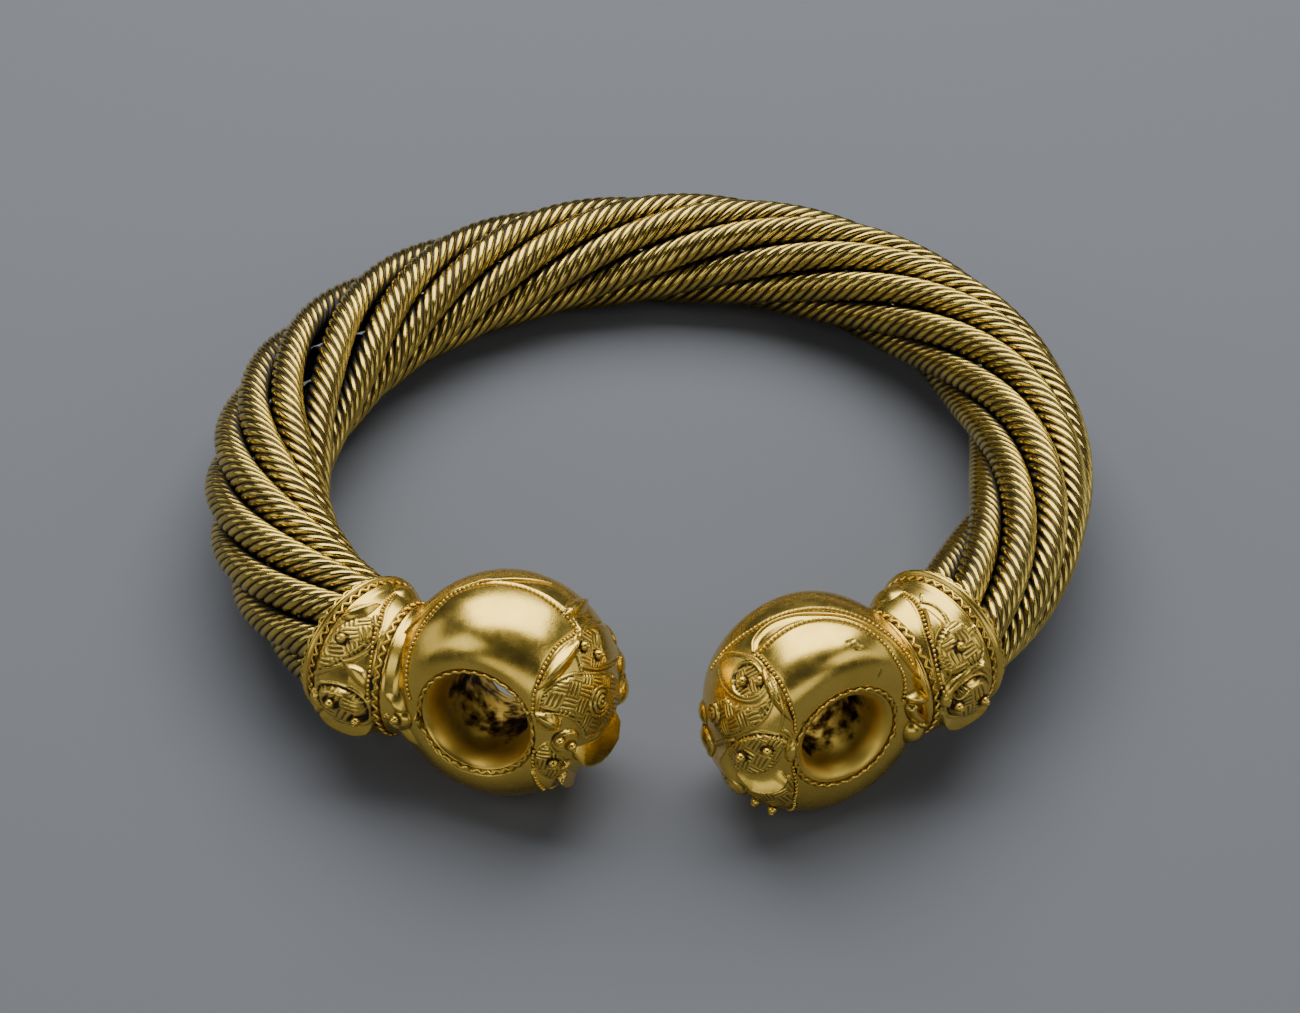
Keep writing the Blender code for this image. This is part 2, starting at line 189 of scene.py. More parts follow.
def grown(piece, tree, values):
    """Runs a Geometry Nodes tree on a piece and keeps the result as its plain mesh."""
    modifier = piece.modifiers.new(tree.name, "NODES")
    modifier.node_group = tree
    for item in tree.interface.items_tree:
        if item.in_out == "INPUT" and item.name in values:
            modifier[item.identifier] = values[item.name]
    depsgraph = bpy.context.evaluated_depsgraph_get()
    depsgraph.update()
    mesh = bpy.data.meshes.new_from_object(piece.evaluated_get(depsgraph))
    piece.modifiers.clear()
    piece.data = mesh
    mesh.shade_smooth()
    return piece


def joined(name, pieces, material):
    """Several mesh pieces as one."""
    work = bmesh.new()
    for piece in pieces:
        work.from_mesh(piece.data)
    mesh = bpy.data.meshes.new(name)
    work.to_mesh(mesh)
    work.free()
    mesh.materials.append(material)
    mesh.polygons.foreach_set("material_index", [0] * len(mesh.polygons))
    whole = bpy.data.objects.new(name, mesh)
    bpy.context.collection.objects.link(whole)
    for piece in pieces:
        bpy.data.objects.remove(piece)
    mesh.shade_smooth()
    return whole


def smooth_line(points, closed=False, steps=6):
    """A smooth line through a few given points."""
    points = np.asarray(points, float)
    count = len(points)
    places = np.linspace(0, count if closed else count - 1, steps * (count if closed else count - 1) + 1)
    if closed:
        places = places[:-1]
    whole = np.minimum(places.astype(int), count - 1 if closed else count - 2)
    share = (places - whole)[:, None]
    if closed:
        a, b, c, d = (points[(whole + k) % count] for k in (-1, 0, 1, 2))
    else:
        padded = np.vstack([2 * points[0] - points[1], points, 2 * points[-1] - points[-2]])
        a, b, c, d = (padded[whole + k] for k in (0, 1, 2, 3))
    return 0.5 * (2 * b + (c - a) * share + (2 * a - 5 * b + 4 * c - d) * share ** 2
                  + (3 * b - a - 3 * c + d) * share ** 3)


# ---------------------------------------------------------------- the hoop and its ropes

def hoop_line(angle_deg):
    """Points on the hoop, its direction there, and the outward direction."""
    angle = np.radians(np.atleast_1d(np.asarray(angle_deg, float)))
    radius = np.full_like(angle, HOOP_RADIUS)
    slope = np.zeros_like(angle)
    for waves, cosine, sine in HOOP_WAVES:
        radius += cosine * np.cos(waves * angle) + sine * np.sin(waves * angle)
        slope += waves * (sine * np.cos(waves * angle) - cosine * np.sin(waves * angle))
    spoke = np.stack([np.cos(angle), np.sin(angle), 0 * angle], -1)
    round_way = np.stack([-np.sin(angle), np.cos(angle), 0 * angle], -1)
    points = radius[:, None] * spoke
    along = unit(slope[:, None] * spoke + radius[:, None] * round_way)
    outward = np.stack([along[:, 1], -along[:, 0], 0 * angle], -1)
    return points, along, outward


def looseness(hoop_deg):
    """1 in the middle of the stretch where the ropes have sprung apart, and 0 away from it."""
    return np.exp(-((hoop_deg - LOOSE_PLACE) / LOOSE_LENGTH) ** 2)


def rope_angle(rope, hoop_deg):
    """Where a rope stands in the bundle: 0 is the outer side of the hoop, 90 the top."""
    turned = TWIST_PLACE[1] + TWIST_RATE * (hoop_deg - TWIST_PLACE[0])
    spread = np.where(hoop_deg < LAG_PLACE, LAG_BEFORE, LAG_AFTER)
    turned = turned - LAG_SIZE * np.exp(-((hoop_deg - LAG_PLACE) / spread) ** 2)
    places = (rope - LOOSE_ROPE + ROPES // 2) % ROPES - ROPES // 2
    push = -np.sign(places) * LOOSE_PUSH * (ROPES // 2 - abs(places)) / (ROPES // 2 - 1)
    return turned - 360 / ROPES * (rope - 1) + push * looseness(hoop_deg)


def rope_line(rope, hoop_deg):
    """The middle of a rope."""
    points, _, outward = hoop_line(hoop_deg)
    spoke = polar(rope_angle(rope, hoop_deg), outward, np.array([0.0, 0.0, 1.0]))
    return points + (BUNDLE_RADIUS + LOOSE_SWELL * looseness(hoop_deg))[:, None] * spoke


def laid_rope_tree(material):
    """Sweeps a rope of laid wires along a line; each point's own turn comes in as "lay"."""
    tree, given = new_tree("laid_rope", ("Core radius", "Wire radius"))
    line = add(tree, "GeometryNodeMeshToCurve", {"Mesh": given["Geometry"]})
    line = add(tree, "GeometryNodeSetCurveNormal", {"Curve": line}, mode="Z_UP")
    lay = add(tree, "GeometryNodeInputNamedAttribute", {"Name": "lay"})
    line = add(tree, "GeometryNodeSetCurveTilt", {"Curve": line, "Tilt": lay})
    # The rope's section: a wire's oval outline repeated WIRES times round the core.
    section = add(tree, "GeometryNodeCurvePrimitiveCircle",
                  {"Resolution": WIRES * POINTS_PER_WIRE, "Radius": 1.0})
    index = add(tree, "GeometryNodeInputIndex")
    share = add(tree, "ShaderNodeMath", {0: index, 1: float(POINTS_PER_WIRE)}, operation="DIVIDE")
    share = add(tree, "ShaderNodeMath", {0: share}, operation="FRACT")
    across = add(tree, "ShaderNodeMath", {0: share, 1: 2.0, 2: -1.0}, operation="MULTIPLY_ADD")
    squared = add(tree, "ShaderNodeMath", {0: across, 1: across}, operation="MULTIPLY")
    crown = add(tree, "ShaderNodeMath", {0: 1.0, 1: squared}, operation="SUBTRACT")
    crown = add(tree, "ShaderNodeMath", {0: crown, 1: 0.5}, operation="POWER")
    reach = add(tree, "ShaderNodeMath", {0: crown, 1: given["Wire radius"], 2: given["Core radius"]},
                operation="MULTIPLY_ADD")
    place = add(tree, "GeometryNodeInputPosition")
    place = add(tree, "ShaderNodeVectorMath", {0: place, "Scale": reach}, operation="SCALE")
    # Soil and painted shade in the grooves: none on a wire's crown, most where two wires meet.
    groove_soil_and_shade = add(tree, "ShaderNodeMath", {0: crown, 1: -GROOVE_SOIL_AND_SHADE, 2: GROOVE_SOIL_AND_SHADE}, operation="MULTIPLY_ADD")
    section = add(tree, "GeometryNodeStoreNamedAttribute",
                  {"Geometry": section, "Name": "grime_and_shade", "Value": groove_soil_and_shade}, domain="POINT")
    section = add(tree, "GeometryNodeSetPosition", {"Geometry": section, "Position": place})
    rope = add(tree, "GeometryNodeCurveToMesh", {"Curve": line, "Profile Curve": section, "Fill Caps": True})
    return finished_tree(tree, rope, material)


def make_rope(rope, tree):
    """One rope, from a little inside one socket to a little inside the other."""
    entry = (SOCKET_DEPTH - SOCKET_CLEARANCE) * DEGREES_PER_MM
    fine_deg = np.linspace(RIGHT["lip_deg"] - entry, LEFT["lip_deg"] + entry, FINE_POINTS)
    fine = rope_line(rope, fine_deg)
    travelled = np.concatenate([[0], np.cumsum(np.linalg.norm(np.diff(fine, axis=0), axis=1))])
    length = travelled[-1]
    stops = np.linspace(0, length, int(length / ROPE_STEP) + 1)
    hoop_deg = np.interp(stops, travelled, fine_deg)
    points = rope_line(rope, hoop_deg)
    ends = np.exp(-stops / TIGHT_LENGTH) + np.exp(-(length - stops) / TIGHT_LENGTH)
    rate = 2 * math.pi / WIRE_PITCH * (1 + (1 / PITCH_AT_COLLAR - 1) * ends)
    lay = np.concatenate([[0], np.cumsum((rate[1:] + rate[:-1]) / 2 * np.diff(stops))])
    piece = new_piece("rope_%d_laid" % rope, points, [], line_edges(len(points)))
    write_values(piece, "lay", LAY_SENSE * lay + rope * ROPE_PHASE)
    grown(piece, tree, {"Core radius": ROPE_CORE * MM, "Wire radius": WIRE_RADIUS * MM})
    soil_and_shade_between_ropes(piece, points, hoop_deg)
    return piece


def soil_and_shade_between_ropes(piece, middles, hoop_deg):
    """Adds soil and painted shade to the sides that a rope turns to its neighbours and to the inside of the
    bundle.
    """
    middles = lay_down(middles)
    bundle = lay_down(hoop_line(hoop_deg)[0])
    found = np.empty(3 * len(piece.data.vertices), np.float32)
    piece.data.vertices.foreach_get("co", found)
    found = found.reshape(-1, 3)
    station = np.minimum(np.arange(len(found)) // (WIRES * POINTS_PER_WIRE), len(middles) - 1)
    facing = (unit(found - middles[station]) * unit(middles - bundle)[station]).sum(-1)
    layer = piece.data.attributes["grime_and_shade"]
    grime_and_shade = np.empty(len(found), np.float32)
    layer.data.foreach_get("value", grime_and_shade)
    layer.data.foreach_set("value", grime_and_shade + SIDE_SOIL_AND_SHADE * soft_step((0.5 - facing) / 0.75).astype(np.float32))


# ---------------------------------------------------------------- the rings and collars

def ring_axes(spec):
    """The hole's direction, the ring's own up, and the way towards the gap between the terminals."""
    facing, lift = math.radians(spec["facing_deg"]), math.radians(spec["up_deg"])
    hole = np.array([math.sin(facing) * math.cos(lift), -math.cos(facing) * math.cos(lift), math.sin(lift)])
    up = unit(np.array([0.0, 0.0, 1.0]) - hole[2] * hole)
    across = np.cross(up, hole)
    return hole, up, across * np.sign(across[0]) * spec["gap_side"]


def ring_section(spec, section_deg):
    """Radius and depth round the ring's section: 0 is its outer edge and 90 its front crest."""
    angle = np.radians(section_deg)
    cosine, sine = np.cos(angle), np.sin(angle)
    power = np.where(sine > 0, spec["squareness"], 2.0)
    reach = (np.abs(cosine) ** power + np.abs(sine) ** power) ** (-1 / power)
    flare = BACK_FLARE * ((1 - sine) / 2) ** 2
    half_width = np.where(cosine > 0, spec["tube"] - flare, HOLE_WALL)
    half_depth = np.where(sine > 0, spec["front_half_depth"], BACK_HALF_DEPTH)
    radius = spec["ring_radius"] - spec["tube"] + flare + half_width * cosine * reach
    return radius, half_depth * sine * reach


def ring_point(spec, round_deg, section_deg, height=0.0):
    """A point on the ring and its outward normal; round_deg is 0 on top and 90 at the gap."""
    hole, up, gap_way = ring_axes(spec)
    radius, depth = ring_section(spec, section_deg)
    after, before = ring_section(spec, section_deg + 0.5), ring_section(spec, section_deg - 0.5)
    spoke = polar(round_deg, up, gap_way)
    normal = unit((after[1] - before[1])[..., None] * spoke - (after[0] - before[0])[..., None] * hole)
    point = np.array(spec["ring_centre"]) + radius[..., None] * spoke + depth[..., None] * hole
    return point + np.asarray(height)[..., None] * normal, normal


def collar_line(spec):
    """A line along the hoop through the socket, then a smooth curve to the middle of the ring."""
    socket_deg = spec["lip_deg"] + spec["gap_side"] * SOCKET_DEPTH * DEGREES_PER_MM
    hoop_part, along, _ = hoop_line(np.linspace(spec["lip_deg"], socket_deg, 5))
    start, leave = hoop_part[-1], spec["gap_side"] * along[-1]
    end, arrive = np.array(spec["ring_centre"]), ring_axes(spec)[2]
    span = np.linalg.norm(end - start)
    u = np.linspace(0, 1, 121)[:, None]
    curve = ((2 * u ** 3 - 3 * u ** 2 + 1) * start + (u ** 3 - 2 * u ** 2 + u) * span * leave
             + (3 * u ** 2 - 2 * u ** 3) * end + (u ** 3 - u ** 2) * span * arrive)
    line = np.concatenate([hoop_part[:-1], curve])
    travelled = np.concatenate([[0], np.cumsum(np.linalg.norm(np.diff(line, axis=0), axis=1))])
    ahead = unit(np.concatenate([spec["gap_side"] * along[:-1], np.gradient(curve, axis=0)]))
    outward = unit(np.cross(ahead, [0, 0, 1.0]) * spec["gap_side"])
    up = unit(np.cross(outward, ahead))
    return travelled, line, outward, up * np.sign(up[:, 2:])


def collar_point(spec, distance, round_deg, radius):
    """A point at a distance from the lip; round_deg is 0 on the hoop's outer side and 90 on top."""
    travelled, line, outward, up = collar_line(spec)
    distance, round_deg = np.asarray(distance, float), np.asarray(round_deg, float)
    place, outward, up = (np.stack([np.interp(distance, travelled, part[:, axis]) for axis in range(3)], -1)
                          for part in (line, outward, up))
    sink = COLLAR_DROP * np.clip((distance - SOCKET_DEPTH) / COLLAR_DROP_LENGTH, 0, 1)
    place = place + sink[..., None] * polar(np.full(distance.shape, COLLAR_DROP_ANGLE), outward, up)
    spoke = polar(round_deg, outward, up)
    return place + np.asarray(radius, float)[..., None] * spoke, spoke


def collar_radius(spec, distance):
    """The collar's own radius at a distance from its lip, without relief."""
    places = [share * spec["neck"] for share, _ in COLLAR_PROFILE]
    return np.interp(distance, places, [radius for _, radius in COLLAR_PROFILE])


# ---------------------------------------------------------------- relief

REACH = 4.0                        # how far from a line its relief can reach
FAR = 1e3


class Sheet:
    """A stretch of gold to raise relief on: two coordinates for each point, and the millimetres
    that one unit of each spans there. An angle wraps round at 360 degrees."""

    def __init__(self, first, second, first_mm, second_mm, first_wraps):
        self.first, self.second = first, second
        self.first_mm, self.second_mm = first_mm, second_mm
        self.first_wraps = first_wraps
        self.height = np.zeros(first.shape)
        # Dirt and painted shade that darken the gold.
        self.dirt_and_shade = np.zeros(first.shape)

    def offsets(self, place):
        """How far each point is from a place along the two coordinates, in their own units."""
        one, two = self.first - place[0], (self.second - place[1] + 180) % 360 - 180
        return ((one + 180) % 360 - 180 if self.first_wraps else one), two

    def turned(self, place, turn_deg):
        """Millimetres from a place, along and across a direction turned from the second coordinate."""
        one, two = self.offsets(place)
        one, two = one * self.first_mm, two * self.second_mm
        cosine, sine = math.cos(math.radians(turn_deg)), math.sin(math.radians(turn_deg))
        return two * cosine + one * sine, one * cosine - two * sine

    def distance(self, line, closed=False):
        """Millimetres from each point to a line, about as far as REACH; beyond that, infinity."""
        line = np.asarray(line, float)
        middle = (line.max(0) + line.min(0)) / 2
        half = (line.max(0) - line.min(0)) / 2
        one, two = self.offsets(middle)
        near = ((np.abs(one) < half[0] + REACH / self.first_mm)
                & (np.abs(two) < half[1] + REACH / self.second_mm))
        one, two = one[near] + middle[0], two[near] + middle[1]
        first_mm, second_mm = self.first_mm[near], self.second_mm[near]
        best = np.full(one.shape, np.inf)
        following = np.roll(line, -1, 0) if closed else line[1:]
        for start, end in zip(line, following):
            ax, ay = (one - start[0]) * first_mm, (two - start[1]) * second_mm
            bx, by = (end[0] - start[0]) * first_mm, (end[1] - start[1]) * second_mm
            share = np.clip((ax * bx + ay * by) / (bx * bx + by * by + 1e-12), 0, 1)
            best = np.minimum(best, (ax - share * bx) ** 2 + (ay - share * by) ** 2)
        far = np.full(self.first.shape, np.inf)
        far[near] = np.sqrt(best)
        return far

    def inside(self, outline):
        """Millimetres from each point to a closed outline: positive inside it, negative outside."""
        outline = np.asarray(outline, float)
        middle = (outline.max(0) + outline.min(0)) / 2
        one, two = self.offsets(middle)
        one, two = one + middle[0], two + middle[1]
        within = np.zeros(one.shape, bool)
        for start, end in zip(outline, np.roll(outline, -1, 0)):
            rise = end[1] - start[1]
            if rise:
                level = (start[1] > two) != (end[1] > two)
                within ^= level & (one < (end[0] - start[0]) * (two - start[1]) / rise + start[0])
        edge = self.distance(outline, closed=True)
        return np.where(within, np.minimum(edge, FAR), -edge)

    def height_at(self, place):
        """The relief's height at the grid point nearest to a place."""
        one, two = self.offsets(place)
        nearest = np.argmin((one * self.first_mm) ** 2 + (two * self.second_mm) ** 2)
        return self.height.ravel()[nearest]


def ridge(sheet, points, half_width=0.32, height=0.3, closed=False):
    """A round ridge along a line, like a wire, or a channel if its height is negative."""
    far = sheet.distance(smooth_line(points, closed), closed)
    sheet.height += height * np.sqrt(np.clip(1 - (far / half_width) ** 2, 0, None))


def channel(sheet, points, half_width=0.6, depth=0.14):
    """A channel that a row of beads sits in, darkened with dirt and painted shade."""
    far = sheet.distance(smooth_line(points))
    sheet.height -= depth * np.sqrt(np.clip(1 - (far / half_width) ** 2, 0, None))
    sheet.dirt_and_shade += 0.7 * soft_step((half_width - far) / 0.25)


def dirt_and_shade_round(sheet, places):
    """A ring of dirt and painted shade at the foot of each pellet."""
    for place in places:
        sheet.dirt_and_shade += 0.9 * soft_step((1.5 - np.hypot(*sheet.turned(place, 0))) / 0.4)


def plate(sheet, outline, height, edge=0.5):
    """Raises, or sinks, all that is inside an outline, with a soft edge inside it."""
    sheet.height += height * soft_step(sheet.inside(smooth_line(outline, True)) / edge)


def dome(sheet, place, half_length, half_width, height, turn=0.0, fullness=0.9):
    """An oval boss, or a hollow if its height is negative. A small fullness gives it steep sides."""
    along, across = sheet.turned(place, turn)
    rise = np.clip(1 - (along / half_length) ** 2 - (across / half_width) ** 2, 0, None)
    sheet.height += height * rise ** fullness


def almond(sheet, place, half_length, half_width, height, turn=0.0):
    """A pointed boss with a keel along it."""
    along, across = sheet.turned(place, turn)
    taper = np.clip(1 - (along / half_length) ** 2, 0, None)
    share = np.abs(across) / (half_width * taper + 1e-9)
    sheet.height += height * np.sqrt(taper) * np.clip(1 - share ** 1.6, 0, None)


def trumpet(sheet, low, high, height, power=0.9, lip=0.5):
    """A swelling that rises from one line to a rounded lip on another, lower where they come close.
    It is burnished, so no dirt stays on it."""
    low, high = smooth_line(low), smooth_line(high)
    inside = sheet.inside(np.vstack([low, high[::-1]]))
    from_low, from_high = (np.minimum(sheet.distance(line), REACH) for line in (low, high))
    width = from_low + from_high + 1e-9
    taper = np.clip(width / (1.2 * height), 0, 1)
    sheet.height += height * taper * (from_low / width) ** power * soft_step(inside / lip)
    sheet.dirt_and_shade -= 1.2 * soft_step((inside + 0.2) / 0.6)


def hatched(sheet, outline, place, turn, block=2.8, pitch=0.82, depth=0.11):
    """Blocks of punched strokes that sway a little, each block across its neighbours, as in a basket.
    They are a little further apart than real ones, so that they show from a step away."""
    along, across = sheet.turned(place, turn)
    sway = 0.1 * np.sin(along * 1.7) * np.cos(across * 1.3)
    even = (np.floor(along / block) + np.floor(across / block)) % 2 < 1
    strokes = np.cos(2 * math.pi * np.where(even, along + sway, across - sway) / pitch)
    joints = np.minimum(np.abs((along / block + 0.5) % 1 - 0.5), np.abs((across / block + 0.5) % 1 - 0.5))
    strokes *= soft_step(joints * block / 0.2)
    inside = soft_step(sheet.inside(smooth_line(outline, True)) / 0.35)
    sheet.height += depth * strokes * inside
    # Dirt over the matting, with painted shade in the strokes' grooves.
    sheet.dirt_and_shade += (0.3 - 0.25 * strokes) * inside


def coiled(sheet, place, radius, height=0.35, pitch=1.0, depth=0.2):
    """A low boss of concentric rings."""
    along, across = sheet.turned(place, 0)
    far = np.hypot(along, across)
    inside = soft_step((radius - far) / 0.5)
    sheet.height = sheet.height * (1 - inside) + inside * (
        np.median(sheet.height[far < radius]) + height * (1 - (far / radius) ** 2)
        + depth * np.cos(2 * math.pi * far / pitch))


def graded(*bands):
    """Grid lines over bands of (start, end, step), closer where there is more relief."""
    return np.concatenate([np.linspace(start, end, round((end - start) / step), endpoint=False)
                           for start, end, step in bands])


# ---------------------------------------------------------------- what is on each terminal

# Places on a ring are (round_deg, section_deg), and places on a collar (millimetres from its lip,
# round_deg).
RING_BEADS = {
    "left": (((-84, 80), (-60, 57), (-40, 30), (-25, 7), (0, -3), (20, -4), (40, 2)),
             ((41, 5), (38, 28), (40, 48), (45, 64), (52, 77), (63, 86)),
             ((103, 88), (112, 86), (121, 78), (129, 66), (134, 52), (140, 30), (143, 5))),
    "right": (((-72, 80), (-55, 65), (-40, 54), (-30, 41), (-15, 20), (0, 5), (15, -1), (37, 0)),
              ((-58, 47), (-40, 34), (-30, 22), (-20, 7), (-8, -6), (10, -18), (30, -27), (50, -38),
               (64, -44)),
              ((37, 2), (37, 22), (39, 42), (44, 58), (51, 73), (62, 85)),
              ((103, 89), (113, 87), (123, 82), (131, 74), (138, 64), (145, 52), (152, 30))),
}
RING_WIRES = {
    "left": (((-80, 8), (-72, 20), (-62, 26), (-48, 24), (-35, 13), (-20, 1), (-8, -7), (4, -18),
              (16, -31)),),
    "right": (((-80, 36), (-72, 47), (-62, 52), (-50, 50), (-40, 42), (-25, 25), (-12, 8), (0, -3),
               (10, -12), (22, -18), (33, -15), (38, -5)),),
}
RING_PELLETS = {"left": ((48, 11), (56.5, 3), (88, 65), (93, 54), (107.5, 66), (-103, 56), (-103, 68)),
                "right": ((45, 24), (51.5, 10), (78, 58), (86.5, 38), (130, 28), (136, 40))}
COLLAR_BEADS = {
    "left": (((7.2, 112), (8.4, 92), (9.6, 78), (10.5, 58), (11.0, 42), (11.3, 28), (11.3, 12)),),
    "right": (((8.0, 112), (8.8, 98), (9.9, 86), (11.7, 69), (13.0, 50), (13.7, 34), (13.9, 14)),),
}
COLLAR_PELLETS = {"left": ((5.8, 52), (6.6, 4), (10.0, -7)), "right": ((8.8, 45), (12.2, 3), (7.0, -3))}
ZIGZAG_PLACES = {"left": (0.1, 2.25, 12.35), "right": (0.1, 2.85, 15.0)}

# Where the crust of soil, the soot with painted shade and the unpolished metal begin in a hole, and over
# how much of the section they come to their full strength, in degrees. All three have faded by HOLE_END at
# the back.
CRUST, SOOT_AND_SHADE, UNPOLISHED = (150, 40), (129, 38), (104, 16)
HOLE_END, HOLE_END_LENGTH = 262, 30
CRUST_THICKNESS, CRUST_LUMPS = 1.0, 0.3
DARKEST_SIDE_DEG = 30.0               # the side of the hole where the soot and painted shade are thickest

TRIM_HALF_WIDTH, TRIM_DEPTH = 0.8, 0.16        # the channel of the zigzag wire round a hole's mouth
RIB_PLACE, RIB_HALF_WIDTH, RIB_HEIGHT = 1.2, 0.68, 0.85
ZIGZAG_BED_HALF_WIDTH, ZIGZAG_BED_DEPTH = 0.72, 0.18           # the same on a collar
ZIGZAG_EDGE_PLACE, ZIGZAG_EDGE_HALF_WIDTH, ZIGZAG_EDGE_HEIGHT = 0.92, 0.22, 0.16
FINE_LINE_PLACE, FINE_LINE_HALF_WIDTH, FINE_LINE_HEIGHT = 0.85, 0.2, 0.18    # beside a row of beads
# How dark the beds of the zigzag wires are: dirt and painted shade.
BED_DIRT_AND_SHADE = 0.65


def trim_section(spec, round_deg):
    """Where the zigzag wire runs round the mouth of the hole."""
    if spec is RIGHT:
        return np.full_like(round_deg, 96.0)
    return 98 + 3.5 * np.cos(2 * np.radians(round_deg - 160))


def ring_sheet(spec):
    """The whole surface of a ring, flat, with no relief yet."""
    round_deg = graded((24, 138, 0.53), (138, 242, 3.5), (242, 292, 0.9), (292, 384, 2.0))
    section_deg = graded((-74, 112, 0.8), (112, 206, 2.6), (206, 286, 5.0))
    across, along = np.meshgrid(section_deg, round_deg)
    radius, _ = ring_section(spec, across)
    step = np.hypot(*(after - before for after, before in zip(ring_section(spec, across + 0.5),
                                                             ring_section(spec, across - 0.5))))
    return Sheet(along, across, radius * math.radians(1), step, True)


def relieve_ring(spec, sheet):
    """What both rings share: the channels of the zigzag wire, beads and pellets, and the lumpy crust
    of soil deep in the hole."""
    trim = np.abs(sheet.second - trim_section(spec, sheet.first)) * sheet.second_mm
    sheet.height -= TRIM_DEPTH * soft_step((TRIM_HALF_WIDTH - trim) / 0.35)
    # Dirt and painted shade in the channel under the zigzag wire.
    sheet.dirt_and_shade += BED_DIRT_AND_SHADE * soft_step((TRIM_HALF_WIDTH + 0.05 - trim) / 0.3)
    for row in RING_BEADS[spec["name"]]:
        channel(sheet, row)
    dirt_and_shade_round(sheet, RING_PELLETS[spec["name"]])
    first, second = np.radians(sheet.first), np.radians(sheet.second)
    lumps = np.sin(5 * first + 2.3 * second) * np.sin(2 * first - 4.1 * second + 1)
    lumps += 0.5 * np.sin(9 * first + 7 * second)
    sheet.height += in_hole(sheet, *CRUST) * (CRUST_THICKNESS + CRUST_LUMPS * lumps)


def in_hole(sheet, start, length):
    """1 deep in the hole and 0 outside it; it rises over a length of the section, both in degrees."""
    deep = soft_step((sheet.second - start) / length)
    return deep * soft_step((HOLE_END - sheet.second) / HOLE_END_LENGTH)


def relieve_left_ring(sheet):
    """The left ring's own relief, from its crown to the gap and then beside the collar."""
    # The long curved line over the crown.
    ridge(sheet, ((-22, 0), (-8, -5), (8, -8), (25, -8), (38, -4), (42, 2)), 0.22, 0.2)
    # Slivers on each side of the crown's corner.
    almond(sheet, (45.5, 34), 7.4, 1.6, 1.3, 6)
    almond(sheet, (34, -22), 6.4, 1.9, 1.5, -10)
    # The smooth trumpet that runs back over the limb, and the drop-shaped cell in its mouth.
    mouth = ((41, 6), (43, 14), (47, 20), (52, 23), (57, 21), (61, 12), (64, 2), (67, -9), (70, -22),
             (73, -34), (75, -42), (55, -48), (50, -40), (46.5, -28), (43.5, -14), (41.5, -3))
    plate(sheet, mouth, 0.6, 1.2)
    cell = ((42.5, 8), (45, 16), (50, 20.5), (56, 20), (60, 12), (63, 3), (62, -3), (56, -7), (50, -15),
            (46, -12), (43.5, -2))
    plate(sheet, cell, -0.3, 0.8)
    hatched(sheet, cell, (51, 0), 35)
    ridge(sheet, ((56, 24), (51, 22), (46, 18), (42, 10), (41.5, -2), (43.5, -14), (46.5, -28), (49, -38)),
          0.28, 0.42)
    ridge(sheet, ((54, 24), (60, 14), (64, 3), (67, -9), (69, -20), (71, -30)), 0.3, 0.5)
    # The big leaf of basket punching with its coil.
    leaf = ((62, 78), (54, 69), (52, 57), (52.5, 45), (54.5, 34), (59, 22), (65, 6), (70, -8), (78, -17),
            (88, -14), (94, 4), (94, 22), (90, 38), (81, 46), (73, 56), (68, 67))
    plate(sheet, leaf, 0.5, 0.9)
    hatched(sheet, leaf, (72, 30), 48)
    coiled(sheet, (76.5, 19), 3.6, 0.6)
    ridge(sheet, ((62, 79), (53.5, 69), (51.5, 56), (52, 44), (54.5, 33), (58, 24)), 0.26, 0.3)
    ridge(sheet, ((66, 72), (70, 62), (76, 51), (84, 43), (93, 37)), 0.24, 0.34)
    ridge(sheet, ((93, 37), (95, 22), (95, 4), (91, -12)), 0.24, 0.34)
    # The bright almond, the round cell of two pellets, and the cell below it.
    almond(sheet, (72.5, 73), 3.1, 1.8, 1.6, -52)
    ridge(sheet, ((67, 82), (74, 84), (80, 76), (79, 64), (74, 60)), 0.22, 0.3)
    lower = ((92, 76), (98, 84), (106, 87), (115, 80), (122, 66), (124, 50), (118, 44), (109, 51),
             (103, 61), (98, 69))
    plate(sheet, lower, 0.5, 0.6)
    hatched(sheet, lower, (106, 70), 12)
    ridge(sheet, lower, 0.24, 0.34, True)
    dome(sheet, (91, 57), 2.8, 2.6, 1.4, 0, 0.45)
    dome(sheet, (91, 57), 2.0, 1.9, -0.5, 0, 0.6)
    # The great cup with the hollow at its tip, two crescents below it, and the knobs on the limb.
    trumpet(sheet, ((97, 46), (97.5, 32), (98, 17), (96.5, 3), (93.5, -13)),
            ((100, 49), (107, 42), (110.5, 27), (109.5, 9), (100, -11)), 3.0, 1.1, 0.35)
    dome(sheet, (110, 51), 1.4, 1.2, -1.2)
    trumpet(sheet, ((113, 47), (119, 36), (125, 20)), ((122, 52), (129, 39), (134, 20)), 2.2, 1.2)
    trumpet(sheet, ((116, 80), (123, 66), (125, 48)), ((125, 80), (134, 62), (135, 44)), 1.2)
    for knob, length, height in (((63, -56), 3.2, 0.9), ((78, -48), 3.6, 1.4), ((91, -35), 3.8, 1.9)):
        dome(sheet, knob, length, 2.9, height, 0, 0.6)
    # Where the ring meets the collar: a keeled leaf, and a small cup that holds two pellets.
    almond(sheet, (-89, 59), 3.8, 2.1, 2.6, -35)
    dome(sheet, (-104, 62), 3.3, 2.6, 2.2, 0, 0.5)
    dome(sheet, (-103, 62), 2.2, 1.4, -0.6, 0, 0.6)
    dome(sheet, (-117, 60), 2.4, 3.6, 1.1, 20)


